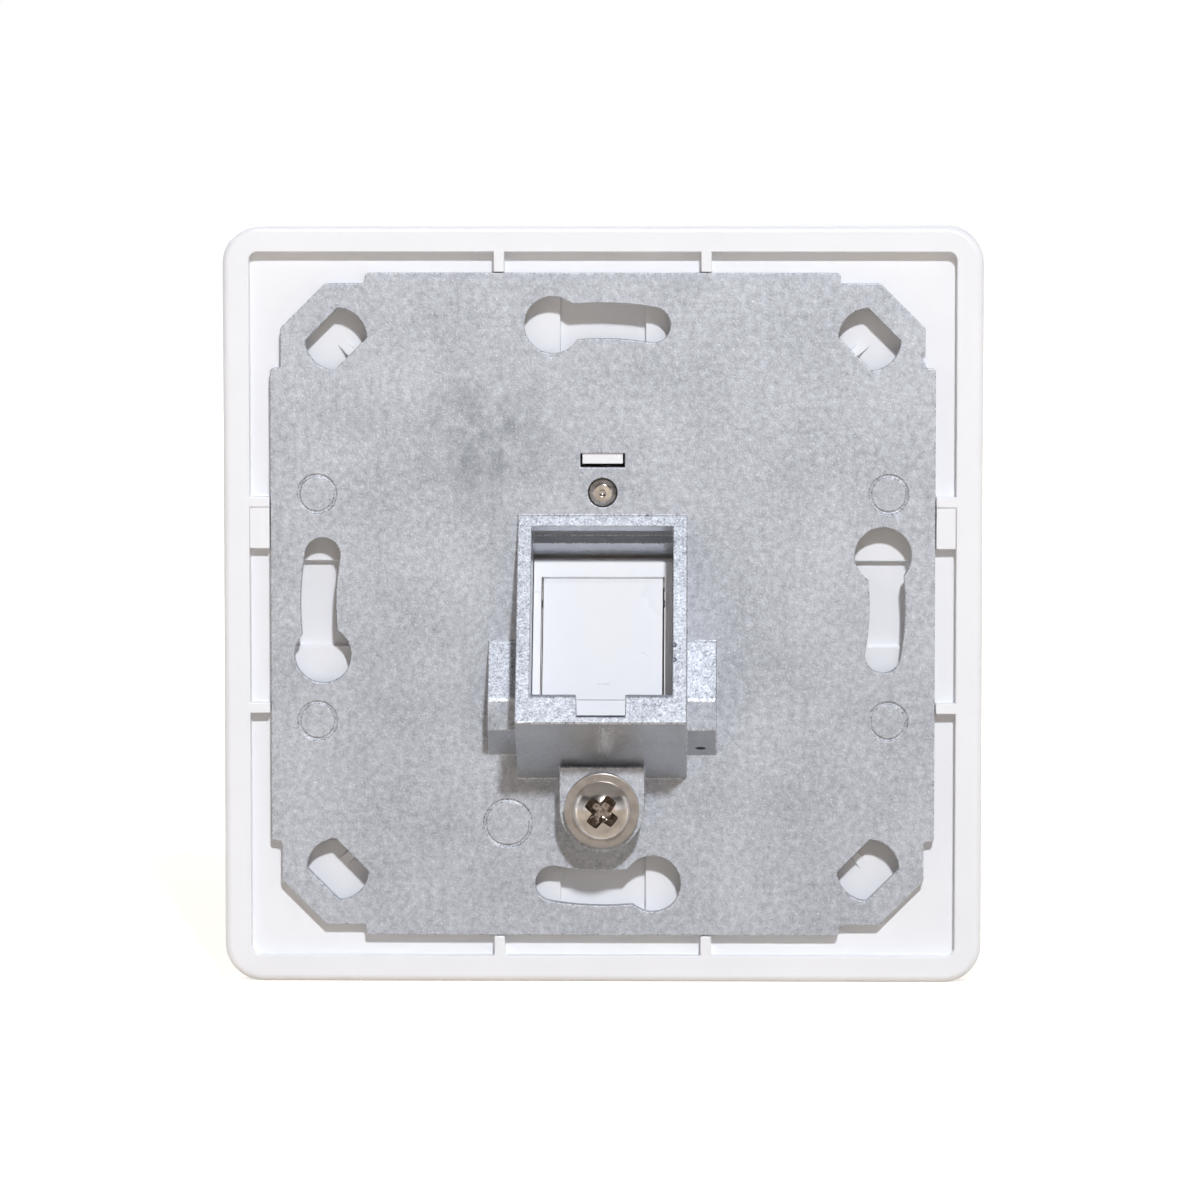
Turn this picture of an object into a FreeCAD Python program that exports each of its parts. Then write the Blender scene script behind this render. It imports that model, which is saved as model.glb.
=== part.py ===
"""Flush-mounted keystone faceplate: zinc mounting plate, cover frame, centre plate and flap.

Millimetres, +Z up. The rear face of the mounting plate lies in y = 0 and rests on the
wall box, the front of the faceplate looks along -Y, and the origin is the middle of the
four fixing slots.
"""
import FreeCAD, Part
import math
import os
from types import SimpleNamespace

import Sketcher

# Driving dimensions

SIZES = {
    # Mounting plate, a zinc casting
    "fixing_circle": 60.0,
    "plate_margin": 5.0,
    "plate_thickness": 1.5,
    "ear_length": 50.0,
    "ear_rise": 1.1,
    "plate_chamfer": 4.7,
    "plate_edge_round": 0.4,
    "slot_width": 3.75,
    "slot_head_bore": 6.0,
    "slot_turn_angle": 10.1,
    "corner_hole_inset": 6.95,
    "corner_hole_bore": 6.6,
    "corner_hole_flats": 4.4,
    "mark_bore": 4.2,
    "mark_groove": 0.3,
    "mark_sink": 0.2,
    "mark_inset": 4.9,
    "mark_rise": 12.0,
    "mark_drop": 0.25,
    "gate_mark_bore": 5.15,
    "gate_mark_side": 10.0,
    "gate_mark_height": -23.1,
    # Slanted keystone box of the casting
    "slant_angle": 30.0,
    "rim_top": 9.5,
    "rim_step": 0.15,
    "rim_wall": 1.2,
    "side_wall": 1.45,
    "jack_width": 14.9,
    "jack_height": 19.3,
    "sill_wall": 3.5,
    "sill_chamfer_drop": 0.55,
    "sill_chamfer_depth": 0.4,
    "top_wall": 1.8,
    "seat_depth": 7.0,
    "latch_lip": 1.25,
    "latch_groove": 2.95,
    "latch_sink": 1.0,
    "sill_notch_width": 5.1,
    "sill_notch_sink": 2.75,
    # Side lugs of the casting
    "lug_reach": 12.0,
    "lug_top": -3.74,
    "lug_foot": 0.6,
    "lug_height": 4.0,
    "lug_flat": 3.2,
    "lug_rake": 3.0,
    # Earth boss, screw and washer
    "earth_gap": 1.087,
    "earth_boss_width": 8.9,
    "earth_boss_rise": 3.7,
    "earth_thread": 3.5,
    "thread_clearance": 0.1,
    "earth_length": 5.0,
    "earth_head_bore": 6.2,
    "earth_head_rim": 0.35,
    "earth_head_rise": 2.1,
    "earth_cross": 3.7,
    "earth_cross_width": 0.95,
    "earth_cross_sink": 1.5,
    "earth_cross_angle": 38.0,
    "washer_bore": 7.9,
    "washer_thickness": 1.0,
    "washer_hole_play": 0.3,
    # Centre screw
    "screw_height": 11.9,
    "screw_thread": 2.9,
    "screw_tip": 1.75,
    "screw_tip_length": 0.6,
    "screw_dimple": 0.8,
    "screw_head_bore": 5.6,
    "screw_head_rim": 0.35,
    "screw_head_cone": 1.5,
    "screw_cross": 2.9,
    "screw_cross_width": 0.8,
    "screw_cross_sink": 1.1,
    "screw_stand": 0.1,
    "screw_play": 0.1,
    # Cover frame
    "plate_gap": 2.2,
    "frame_corner": 4.0,
    "frame_edge_depth": 4.0,
    "frame_mid_depth": 5.6,
    "frame_mid_inset": 5.0,
    "frame_seat_depth": 7.0,
    "frame_rim": 2.8,
    "rim_inner_corner": 0.9,
    "rim_edge_round": 0.8,
    "well_inset": 2.0,
    "well_corner": 8.0,
    "well_sink": 1.2,
    "pocket_width": 9.0,
    "pocket_sink": 0.8,
    "rib_pitch": 21.8,
    "rib_width": 1.1,
    "rib_gap": 0.1,
    "pad_length": 4.4,
    "pad_sink": 0.15,
    "corner_rib_width": 1.0,
    "corner_rib_inset": 0.3,
    "corner_rib_rise": 0.8,
    "corner_rib_ramp": 1.8,
    "ledge_depth": 4.5,
    "ledge_width": 1.85,
    "centre_play": 0.1,
    # Centre plate
    "centre_width": 50.0,
    "centre_corner": 1.2,
    "centre_depth": 8.8,
    "centre_edge_round": 0.8,
    "shell_wall": 1.9,
    "shell_skin": 1.6,
    "block_play": 0.1,
    "block_floor": 0.6,
    "block_chamfer_drop": 0.8,
    "block_chamfer_depth": 0.5,
    "port_width": 13.1,
    "port_top": 1.9,
    "port_wall": 0.8,
    "lintel": 0.66,
    "stop_lip": 0.85,
    "stop_lip_thickness": 0.6,
    "stop_lip_draft": 0.15,
    "port_floor": 0.9,
    "boss_bore": 4.8,
    "tab_width": 4.25,
    "tab_thickness": 1.1,
    "tab_slot_width": 4.7,
    "tab_slot_height": 1.5,
    "tab_slot_top": 16.06,
    "tab_short": 0.3,
    # Dust flap
    "flap_play": 0.25,
    "flap_end_play": 0.05,
    "flap_thickness": 1.4,
    "flap_round_drop": 3.4,
    "flap_round_sink": 0.35,
    "flap_rib_depth": 2.8,
    "flap_seal_thickness": 0.3,
    "flap_seal_play": 0.06,
    "hinge_drop": 4.6,
    "hinge_radius": 2.4,
    "cheek_bore": 2.4,
    "pin_bore": 0.8,
    "pin_play": 0.05,
    "pin_reach": 0.6,
    "cheek_width": 1.0,
    "finger_lip_width": 6.0,
    "finger_lip_height": 1.2,
    "finger_lip_reach": 0.8,
    "finger_lip_inset": 0.9,
    "bearing_recess_width": 0.6,
    "bearing_recess_inset": 0.1,
    "bearing_recess_height": 1.9,
    "bearing_recess_drop": 5.3,
    "bearing_recess_sink": 0.12,
}


class Size:
    """A length or an angle that keeps its spreadsheet formula beside its number."""

    def __init__(self, number, formula):
        self.number = number
        self.formula = formula

    def __add__(self, other):
        other = as_size(other)
        return Size(self.number + other.number, f"({self.formula} + {other.formula})")

    def __sub__(self, other):
        other = as_size(other)
        return Size(self.number - other.number, f"({self.formula} - {other.formula})")

    def __mul__(self, other):
        other = as_size(other)
        return Size(self.number * other.number, f"({self.formula} * {other.formula})")

    def __truediv__(self, other):
        other = as_size(other)
        return Size(self.number / other.number, f"({self.formula} / {other.formula})")

    def __neg__(self):
        return Size(-self.number, f"(0 - {self.formula})")


def as_size(value):
    """Give a plain number the form of a Size."""
    if isinstance(value, Size):
        return value
    return Size(float(value), repr(float(value)))


def sine(angle):
    return Size(math.sin(math.radians(angle.number)), f"sin({angle.formula})")


def cosine(angle):
    return Size(math.cos(math.radians(angle.number)), f"cos({angle.formula})")


def root(value):
    return Size(math.sqrt(value.number), f"sqrt({value.formula})")


doc = FreeCAD.newDocument("keystone_faceplate")
sheet = doc.addObject("Spreadsheet::Sheet", "Sizes")
for row, (alias, number) in enumerate(SIZES.items(), start=1):
    sheet.set(f"A{row}", alias.replace("_", " "))
    sheet.set(f"B{row}", str(number))
    sheet.setAlias(f"B{row}", alias)
doc.recompute()
S = SimpleNamespace(**{alias: Size(number, f"Sizes.{alias}") for alias, number in SIZES.items()})
ZERO = as_size(0)


# Drawing helpers

def new_body(label):
    """Start one sub-part, labelled with the name of its file."""
    body = doc.addObject("PartDesign::Body", label)
    body.Label = label
    body.Placement = FreeCAD.Placement()
    return body


def new_sketch(body, name, role, offset=ZERO, rise=ZERO):
    """Add a sketch on one of the body's origin planes, moved along its normal and upward."""
    sketch = body.newObject("Sketcher::SketchObject", name)
    plane = next(item for item in body.Origin.OriginFeatures if item.Role == role)
    sketch.AttachmentSupport = [(plane, "")]
    sketch.MapMode = "FlatFace"
    sketch.setExpression("AttachmentOffset.Base.z", offset.formula)
    sketch.setExpression("AttachmentOffset.Base.y", rise.formula)
    return sketch


def bind(sketch, constraint, size):
    """Add a dimension to a sketch and bind it to its formula."""
    index = sketch.addConstraint(constraint)
    sketch.renameConstraint(index, f"dim{index}")
    sketch.setExpression(f"Constraints.dim{index}", size.formula)


def draw_outline(sketch, corners):
    """Draw a closed outline of straight lines and arcs.

    Each corner is (x, y) for a line to the next corner, or (x, y, radius, centre_x, centre_y)
    for an anticlockwise arc to the next corner; a negative radius makes it clockwise.
    """
    first = sketch.GeometryCount
    count = len(corners)
    for place, corner in enumerate(corners):
        start = corner[:2]
        end = corners[(place + 1) % count][:2]
        start_point = FreeCAD.Vector(start[0].number, start[1].number, 0)
        end_point = FreeCAD.Vector(end[0].number, end[1].number, 0)
        if len(corner) == 2:
            sketch.addGeometry(Part.LineSegment(start_point, end_point), False)
        else:
            sketch.addGeometry(arc_between(start_point, end_point, corner), False)
    for place, corner in enumerate(corners):
        here = first + place
        before = first + (place - 1) % count
        sketch.addConstraint(Sketcher.Constraint("Coincident", before, end_vertex(corners[place - 1]),
                                                 here, start_vertex(corner)))
        bind(sketch, Sketcher.Constraint("DistanceX", -1, 1, here, start_vertex(corner),
                                         corner[0].number), corner[0])
        bind(sketch, Sketcher.Constraint("DistanceY", -1, 1, here, start_vertex(corner),
                                         corner[1].number), corner[1])
        if len(corner) > 2:
            bind_centre(sketch, here, corner, corners[(place + 1) % count])


def bind_centre(sketch, index, corner, following):
    """Fix an arc's centre along the line on which it can still move."""
    across = abs(following[0].number - corner[0].number)
    upward = abs(following[1].number - corner[1].number)
    if upward >= across:
        bind(sketch, Sketcher.Constraint("DistanceX", -1, 1, index, 3, corner[3].number), corner[3])
    else:
        bind(sketch, Sketcher.Constraint("DistanceY", -1, 1, index, 3, corner[4].number), corner[4])


def start_vertex(corner):
    """A clockwise arc is stored the other way round, so it starts at its second vertex."""
    return 2 if len(corner) > 2 and corner[2].number < 0 else 1


def end_vertex(corner):
    return 3 - start_vertex(corner)


def arc_between(start, end, corner):
    """The arc from start to end round the corner's centre."""
    centre = FreeCAD.Vector(corner[3].number, corner[4].number, 0)
    if corner[2].number < 0:
        start, end = end, start
    turn_from = math.atan2(start.y - centre.y, start.x - centre.x)
    turn_to = math.atan2(end.y - centre.y, end.x - centre.x)
    circle = Part.Circle(centre, FreeCAD.Vector(0, 0, 1), abs(corner[2].number))
    return Part.ArcOfCircle(circle, turn_from, turn_to)


def draw_circle(sketch, x, y, radius):
    centre = FreeCAD.Vector(x.number, y.number, 0)
    index = sketch.addGeometry(Part.Circle(centre, FreeCAD.Vector(0, 0, 1), radius.number), False)
    bind(sketch, Sketcher.Constraint("DistanceX", -1, 1, index, 3, x.number), x)
    bind(sketch, Sketcher.Constraint("DistanceY", -1, 1, index, 3, y.number), y)
    bind(sketch, Sketcher.Constraint("Radius", index, radius.number), radius)


def draw_box(sketch, left, right, bottom, top):
    draw_outline(sketch, [(left, bottom), (right, bottom), (right, top), (left, top)])


def draw_rounded_square(sketch, half, corner):
    """Draw a square about the origin with rounded corners."""
    flat = half - corner
    draw_outline(sketch, [
        (-flat, -half), (flat, -half, corner, flat, -flat),
        (half, -flat), (half, flat, corner, flat, flat),
        (flat, half), (-flat, half, corner, -flat, flat),
        (-half, flat), (-half, -flat, corner, -flat, -flat)])


def extrude(body, kind, name, sketch, length, reverse=False, both_sides=False):
    """Pad or pocket a sketch by a bound length: along its plane's normal, back, or both ways."""
    feature = body.newObject(f"PartDesign::{kind}", name)
    feature.Profile = sketch
    feature.SideType = "Symmetric" if both_sides else "One side"
    feature.Reversed = reverse != (kind == "Pocket")
    feature.Length = length.number
    feature.setExpression("Length", length.formula)
    sketch.Visibility = False
    doc.recompute()
    return feature


def pad(body, name, sketch, length, reverse=False, both_sides=False):
    return extrude(body, "Pad", name, sketch, length, reverse, both_sides)


def pocket(body, name, sketch, length, reverse=False, both_sides=False):
    """Cut a sketch's form out of the body, and make sure that it cut something."""
    before = body.Shape.Volume
    feature = extrude(body, "Pocket", name, sketch, length, reverse, both_sides)
    if feature.Shape.Volume >= before:
        raise ValueError(f"{name} cut nothing")
    return feature


def repeat_around(body, name, features, count):
    """Repeat features round the Y axis."""
    pattern = body.newObject("PartDesign::PolarPattern", name)
    pattern.Originals = features
    axis = next(item for item in body.Origin.OriginFeatures if item.Role == "Y_Axis")
    pattern.Axis = (axis, [""])
    pattern.Angle = 360
    pattern.Occurrences = count
    body.Tip = pattern
    doc.recompute()
    return pattern


def mirror_across(body, name, features, role):
    """Mirror features across one of the body's origin planes."""
    pattern = body.newObject("PartDesign::Mirrored", name)
    pattern.Originals = features
    plane = next(item for item in body.Origin.OriginFeatures if item.Role == role)
    pattern.MirrorPlane = (plane, [""])
    body.Tip = pattern
    doc.recompute()
    return pattern


def turn_about_axis(body, kind, name, sketch):
    """Turn a section, by Revolution or Groove, round its sketch's horizontal axis."""
    feature = body.newObject(f"PartDesign::{kind}", name)
    feature.Profile = sketch
    feature.ReferenceAxis = (sketch, ["H_Axis"])
    feature.Angle = 360
    sketch.Visibility = False
    doc.recompute()
    return feature


def round_edges(body, name, radius, chosen):
    """Fillet the edges of the body's tip that the test picks out."""
    tip = body.Tip
    edges = [f"Edge{place}" for place, edge in enumerate(tip.Shape.Edges, start=1) if chosen(edge)]
    if not edges:
        raise ValueError(f"{name} found no edge")
    fillet = body.newObject("PartDesign::Fillet", name)
    fillet.Base = (tip, edges)
    fillet.setExpression("Radius", radius.formula)
    doc.recompute()
    return fillet


def lies_at(edge, axis, place, slack=0.01):
    """True where a whole edge lies in the plane at this place along the axis."""
    box = edge.BoundBox
    low = {"x": box.XMin, "y": box.YMin, "z": box.ZMin}[axis]
    high = {"x": box.XMax, "y": box.YMax, "z": box.ZMax}[axis]
    return abs(low - place.number) < slack and abs(high - place.number) < slack


# Places that several pieces share

fixing_radius = S.fixing_circle / 2
plate_half = fixing_radius + S.plate_margin
plate_front = -S.plate_thickness
box_width = S.jack_width + S.side_wall * 2
box_bottom = S.jack_height + S.sill_wall
block_half = S.jack_width / 2 - S.block_play
block_bottom = S.jack_height - S.block_floor
port_bottom = block_bottom - S.port_floor
lintel_edge = S.port_top + S.lintel
stop_edge = port_bottom - S.stop_lip
flap_top = lintel_edge + S.flap_end_play
flap_bottom = port_bottom - S.flap_play
flap_front = S.seat_depth + S.flap_thickness
hinge_depth = S.seat_depth + S.hinge_radius
pin_radius = S.pin_bore / 2
rim_inner = plate_half + S.plate_gap
frame_half = rim_inner + S.frame_rim
well_half = plate_half - S.well_inset
centre_half = S.centre_width / 2
centre_front = -S.centre_depth
shell_inside = centre_front + S.shell_skin
earth_seat = S.earth_boss_rise
washer_top = earth_seat + S.washer_thickness
tab_bottom = S.tab_slot_top - S.tab_thickness


def slanted(depth, drop):
    """(y, z) of a point in the slanted box.

    Depth runs forward from the box's rim along its axis, drop runs down the rim from the
    inner face of its top wall.
    """
    along = drop + S.rim_wall
    height = S.rim_top - along * cosine(S.slant_angle) - depth * sine(S.slant_angle)
    reach = S.rim_step + along * sine(S.slant_angle) - depth * cosine(S.slant_angle)
    return reach, height


def depth_at(reach, drop):
    """Depth at which the line at this drop passes the plane y = reach."""
    return (S.rim_step + (drop + S.rim_wall) * sine(S.slant_angle) - reach) / cosine(S.slant_angle)


earth_ceiling = slanted(depth_at(earth_seat, box_bottom), box_bottom)[1]
earth_height = earth_ceiling - S.earth_gap - S.washer_bore / 2


def slanted_quad(depth_near, depth_far, drop_top, drop_bottom):
    """Four corners of a slanted rectangle."""
    return [slanted(depth_near, drop_top), slanted(depth_near, drop_bottom),
            slanted(depth_far, drop_bottom), slanted(depth_far, drop_top)]


# Mounting plate: outline, keystone box, lugs and boss

def draw_plate_outline(sketch):
    """Square plate whose corners step in at the ears and are cut off at 45 degrees."""
    ear = S.ear_length / 2
    inner = plate_half - S.ear_rise
    cut = inner - S.plate_chamfer
    corner = [(ear, plate_half), (ear, inner), (cut, inner), (inner, cut), (inner, ear), (plate_half, ear)]
    turned = [corner]
    for _ in range(3):
        corner = [(y, -x) for x, y in corner]
        turned.append(corner)
    draw_outline(sketch, [point for quarter in turned for point in quarter])


def make_box(body):
    """The slanted housing that stands on the plate, and its top wall in front of the plate."""
    outer_top = -S.rim_wall
    front_top = -S.top_wall
    side_reach = S.seat_depth * cosine(S.slant_angle) + plate_front - S.rim_step
    side_drop = side_reach / sine(S.slant_angle) - S.rim_wall
    sketch = new_sketch(body, "BoxSection", "YZ_Plane")
    draw_outline(sketch, [
        slanted(ZERO, outer_top), (plate_front / 2, S.rim_top),
        slanted(depth_at(plate_front, front_top), front_top),
        slanted(S.seat_depth, front_top), slanted(S.seat_depth, side_drop),
        slanted(depth_at(plate_front, box_bottom), box_bottom), slanted(ZERO, box_bottom)])
    pad(body, "Box", sketch, box_width, both_sides=True)


def make_lugs(body):
    """Two wedge-shaped lugs against the sides of the box."""
    crest = S.lug_top - (S.lug_height - S.lug_foot) * cosine(S.slant_angle) / sine(S.slant_angle)
    flat_end = crest - S.lug_flat
    root_depth = plate_front / 2
    sketch = new_sketch(body, "LugSection", "YZ_Plane")
    draw_outline(sketch, [
        (root_depth, S.lug_top), (root_depth, flat_end - S.lug_rake), (ZERO, flat_end - S.lug_rake),
        (S.lug_height, flat_end), (S.lug_height, crest), (S.lug_foot, S.lug_top)])
    pad(body, "Lugs", sketch, S.lug_reach * 2, both_sides=True)


def make_earth_boss(body):
    """Round-ended boss that carries the earth screw, under the box."""
    half = S.earth_boss_width / 2
    top = earth_height + half
    sketch = new_sketch(body, "BossOutline", "XZ_Plane", S.plate_thickness / 2)
    draw_outline(sketch, [
        (-half, top), (-half, earth_height, half, ZERO, earth_height),
        (half, earth_height), (half, top)])
    pad(body, "EarthBoss", sketch, S.earth_boss_rise + S.plate_thickness / 2, reverse=True)


def cut_box(body):
    """Jack opening, latch groove behind the top lip, and the notch in the bottom rim."""
    through = depth_at(plate_front * 3, S.jack_height)
    sill_edge = S.jack_height + S.sill_chamfer_drop
    opening = new_sketch(body, "OpeningSection", "YZ_Plane")
    draw_outline(opening, [
        slanted(-S.latch_lip, ZERO), slanted(-S.latch_lip, sill_edge), slanted(ZERO, sill_edge),
        slanted(S.sill_chamfer_depth, S.jack_height), slanted(through, S.jack_height),
        slanted(through, ZERO)])
    pocket(body, "Opening", opening, S.jack_width, both_sides=True)
    groove = new_sketch(body, "LatchSection", "YZ_Plane")
    groove_end = S.latch_lip + S.latch_groove
    draw_outline(groove, slanted_quad(S.latch_lip, groove_end, -S.latch_sink, S.latch_sink))
    pocket(body, "LatchGroove", groove, S.jack_width, both_sides=True)
    notch = new_sketch(body, "NotchSection", "YZ_Plane")
    notch_end = S.seat_depth + S.block_play
    notch_floor = S.jack_height + S.sill_notch_sink
    draw_outline(notch, slanted_quad(-S.latch_lip, notch_end, S.jack_height - S.latch_sink, notch_floor))
    pocket(body, "SillNotch", notch, S.sill_notch_width, both_sides=True)


def keyhole_corners():
    """Arc slot along the fixing circle at the top of the plate."""
    half = S.slot_width / 2
    across = sine(S.slot_turn_angle)
    up = cosine(S.slot_turn_angle)
    outer = fixing_radius + half
    inner = fixing_radius - half
    centre_x = fixing_radius * across
    centre_z = fixing_radius * up
    return [
        (outer * across, outer * up, outer, ZERO, ZERO),
        (-(outer * across), outer * up, half, -centre_x, centre_z),
        (-(inner * across), inner * up, -inner, ZERO, ZERO),
        (inner * across, inner * up, half, centre_x, centre_z)]


def cut_fixings(body):
    """Four keyhole slots on the fixing circle and four flatted holes in the corners."""
    slot = new_sketch(body, "SlotOutline", "XZ_Plane")
    draw_outline(slot, keyhole_corners())
    slot_cut = pocket(body, "Slot", slot, S.plate_thickness)
    head = new_sketch(body, "SlotHeadOutline", "XZ_Plane")
    draw_circle(head, fixing_radius * sine(S.slot_turn_angle), fixing_radius * cosine(S.slot_turn_angle),
                S.slot_head_bore / 2)
    head_cut = pocket(body, "SlotHead", head, S.plate_thickness)
    corner = new_sketch(body, "CornerHoleOutline", "XZ_Plane")
    draw_outline(corner, corner_hole_corners())
    corner_cut = pocket(body, "CornerHole", corner, S.plate_thickness)
    repeat_around(body, "Fixings", [slot_cut, head_cut, corner_cut], 4)


def corner_hole_corners():
    """A bore with two flats that run along the plate's chamfer, in the +X +Z corner."""
    place = plate_half - S.corner_hole_inset
    radius = S.corner_hole_bore / 2
    half = S.corner_hole_flats / 2
    reach = root(radius * radius - half * half)
    diagonal = root(as_size(0.5))
    near = (reach - half) * diagonal
    far = (reach + half) * diagonal
    return [
        (place + far, place - near), (place - near, place + far, radius, place, place),
        (place - far, place + near), (place + near, place - far, radius, place, place)]


def cut_marks(body):
    """Shallow rings that the ejector pins and the gate leave in the rear face."""
    sketch = new_sketch(body, "MarkOutline", "XZ_Plane")
    heights = (S.mark_rise - S.mark_drop, -S.mark_rise - S.mark_drop)
    reach = plate_half - S.mark_inset
    for side in (-reach, reach):
        for height in heights:
            draw_circle(sketch, side, height, S.mark_bore / 2)
            draw_circle(sketch, side, height, S.mark_bore / 2 - S.mark_groove)
    draw_circle(sketch, S.gate_mark_side, S.gate_mark_height, S.gate_mark_bore / 2)
    draw_circle(sketch, S.gate_mark_side, S.gate_mark_height, S.gate_mark_bore / 2 - S.mark_groove)
    pocket(body, "Marks", sketch, S.mark_sink)


def cut_screw_holes(body):
    """Thread of the centre screw, slot of the locating tab and thread of the earth screw."""
    holes = new_sketch(body, "PlateHoleOutline", "XZ_Plane")
    draw_circle(holes, ZERO, S.screw_height, S.screw_thread / 2 + S.screw_play)
    tab_half = S.tab_slot_width / 2
    draw_box(holes, -tab_half, tab_half, S.tab_slot_top - S.tab_slot_height, S.tab_slot_top)
    pocket(body, "PlateHoles", holes, S.plate_thickness)
    thread = new_sketch(body, "EarthThreadOutline", "XZ_Plane", -earth_seat)
    draw_circle(thread, ZERO, earth_height, S.earth_thread / 2 + S.thread_clearance)
    pocket(body, "EarthThread", thread, earth_seat + S.plate_thickness)


def make_mounting_plate():
    body = new_body("mounting_plate")
    outline = new_sketch(body, "PlateOutline", "XZ_Plane")
    draw_plate_outline(outline)
    pad(body, "Plate", outline, S.plate_thickness)
    corner = plate_half.number - S.ear_rise.number
    round_edges(body, "CornerRounds", S.plate_edge_round,
                lambda edge: abs(edge.BoundBox.YLength - S.plate_thickness.number) < 0.01
                and abs(edge.BoundBox.XMax) > S.ear_length.number / 2 - 0.01
                and max(abs(edge.BoundBox.XMax), abs(edge.BoundBox.ZMax)) > corner - 0.01)
    make_box(body)
    make_lugs(body)
    make_earth_boss(body)
    cut_box(body)
    cut_fixings(body)
    cut_marks(body)
    cut_screw_holes(body)
    return body


# Cover frame: moulded ring with a rear rim, ribs and a seat for the centre plate

def make_frame_blank(body):
    """Ring with straight sides, then two slopes that rise towards the centre plate."""
    edge = new_sketch(body, "FrameOutline", "XZ_Plane")
    draw_rounded_square(edge, frame_half, S.frame_corner)
    pad(body, "FrameSides", edge, S.frame_edge_depth)
    sections = []
    middle = frame_half - S.frame_mid_inset
    inner = centre_half + S.centre_play + S.ledge_width
    steps = ((frame_half, S.frame_corner, S.frame_edge_depth),
             (middle, S.frame_corner, S.frame_mid_depth),
             (inner, S.frame_corner, S.frame_seat_depth))
    for place, (reach, corner, depth) in enumerate(steps):
        section = new_sketch(body, f"DomeSection{place}", "XZ_Plane", depth)
        draw_rounded_square(section, reach, corner)
        section.Visibility = False
        sections.append(section)
    dome = body.newObject("PartDesign::AdditiveLoft", "Dome")
    dome.Profile = sections[0]
    dome.Sections = sections[1:]
    dome.Ruled = True
    doc.recompute()
    round_edges(body, "RimRound", S.rim_edge_round, lambda edge: lies_at(edge, "y", ZERO))


def cut_frame(body):
    """Rear recess for the plate, well for the box screws, seat and window."""
    recess = new_sketch(body, "RecessOutline", "XZ_Plane")
    draw_rounded_square(recess, rim_inner, S.rim_inner_corner)
    pocket(body, "Recess", recess, S.plate_thickness)
    well = new_sketch(body, "WellOutline", "XZ_Plane", S.plate_thickness)
    draw_rounded_square(well, well_half, S.well_corner)
    pocket(body, "Well", well, S.well_sink)
    half = S.pocket_width / 2
    pockets = new_sketch(body, "PocketOutline", "XZ_Plane", S.plate_thickness + S.well_sink)
    draw_box(pockets, -half, half, centre_half + S.centre_play, well_half)
    cut = pocket(body, "ScrewPocket", pockets, S.pocket_sink)
    repeat_around(body, "ScrewPockets", [cut], 4)
    seat = new_sketch(body, "SeatOutline", "XZ_Plane", S.frame_seat_depth)
    draw_rounded_square(seat, centre_half + S.centre_play, S.centre_corner)
    pocket(body, "Seat", seat, S.frame_seat_depth - S.ledge_depth, reverse=True)
    window = new_sketch(body, "WindowOutline", "XZ_Plane")
    draw_rounded_square(window, centre_half + S.centre_play - S.ledge_width, S.centre_corner)
    pocket(body, "Window", window, S.frame_seat_depth)


def add_frame_ribs(body):
    """Ribs and pads that centre the plate in the rim, and ribs out of the seat's corners."""
    half = S.rib_width / 2
    middle = S.rib_pitch / 2
    bottom = plate_half + S.rib_gap
    ribs = new_sketch(body, "RibOutline", "XZ_Plane")
    draw_box(ribs, middle - half, middle + half, bottom, rim_inner + half)
    draw_box(ribs, -middle - half, -middle + half, bottom, rim_inner + half)
    rib = pad(body, "Ribs", ribs, S.plate_thickness)
    repeat_around(body, "RibRing", [rib], 4)
    pads = new_sketch(body, "PadOutline", "XZ_Plane", S.pad_sink)
    pad_top = middle - half
    draw_box(pads, bottom, rim_inner + half, pad_top - S.pad_length, pad_top)
    draw_box(pads, -rim_inner - half, -bottom, pad_top - S.pad_length, pad_top)
    pad(body, "Pads", pads, S.plate_thickness - S.pad_sink)
    add_corner_ribs(body)


def add_corner_ribs(body):
    """Ribs that run out along the diagonals and slope down to the floor of the well."""
    diagonal = root(as_size(2))
    floor = -(S.plate_thickness + S.well_sink)
    inner = (centre_half + S.centre_play) * diagonal
    outer = (plate_half - S.corner_hole_inset - S.corner_rib_inset) * diagonal
    section = new_sketch(body, "CornerRibSection", "YZ_Plane")
    section.setExpression("AttachmentOffset.Rotation.Axis.x", "1")
    section.setExpression("AttachmentOffset.Rotation.Axis.z", "0")
    section.setExpression("AttachmentOffset.Rotation.Angle", "45")
    draw_outline(section, [
        (floor, outer), (floor + S.corner_rib_rise, outer - S.corner_rib_ramp),
        (floor + S.corner_rib_rise, inner), (floor - S.pocket_sink, inner), (floor - S.pocket_sink, outer)])
    rib = pad(body, "CornerRib", section, S.corner_rib_width, both_sides=True)
    repeat_around(body, "CornerRibs", [rib], 4)


def make_cover_frame():
    body = new_body("cover_frame")
    make_frame_blank(body)
    cut_frame(body)
    add_frame_ribs(body)
    return body


# Centre plate: shell, port block, screw boss and locating tab

def make_centre_shell(body):
    outline = new_sketch(body, "CentreOutline", "XZ_Plane", S.ledge_depth)
    draw_rounded_square(outline, centre_half, S.centre_corner)
    pad(body, "CentreBlank", outline, S.centre_depth - S.ledge_depth)
    round_edges(body, "FrontRound", S.centre_edge_round, lambda edge: lies_at(edge, "y", centre_front))
    hollow = new_sketch(body, "HollowOutline", "XZ_Plane", S.ledge_depth)
    draw_rounded_square(hollow, centre_half - S.shell_wall, S.centre_corner)
    pocket(body, "Hollow", hollow, S.centre_depth - S.ledge_depth - S.shell_skin)


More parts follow.
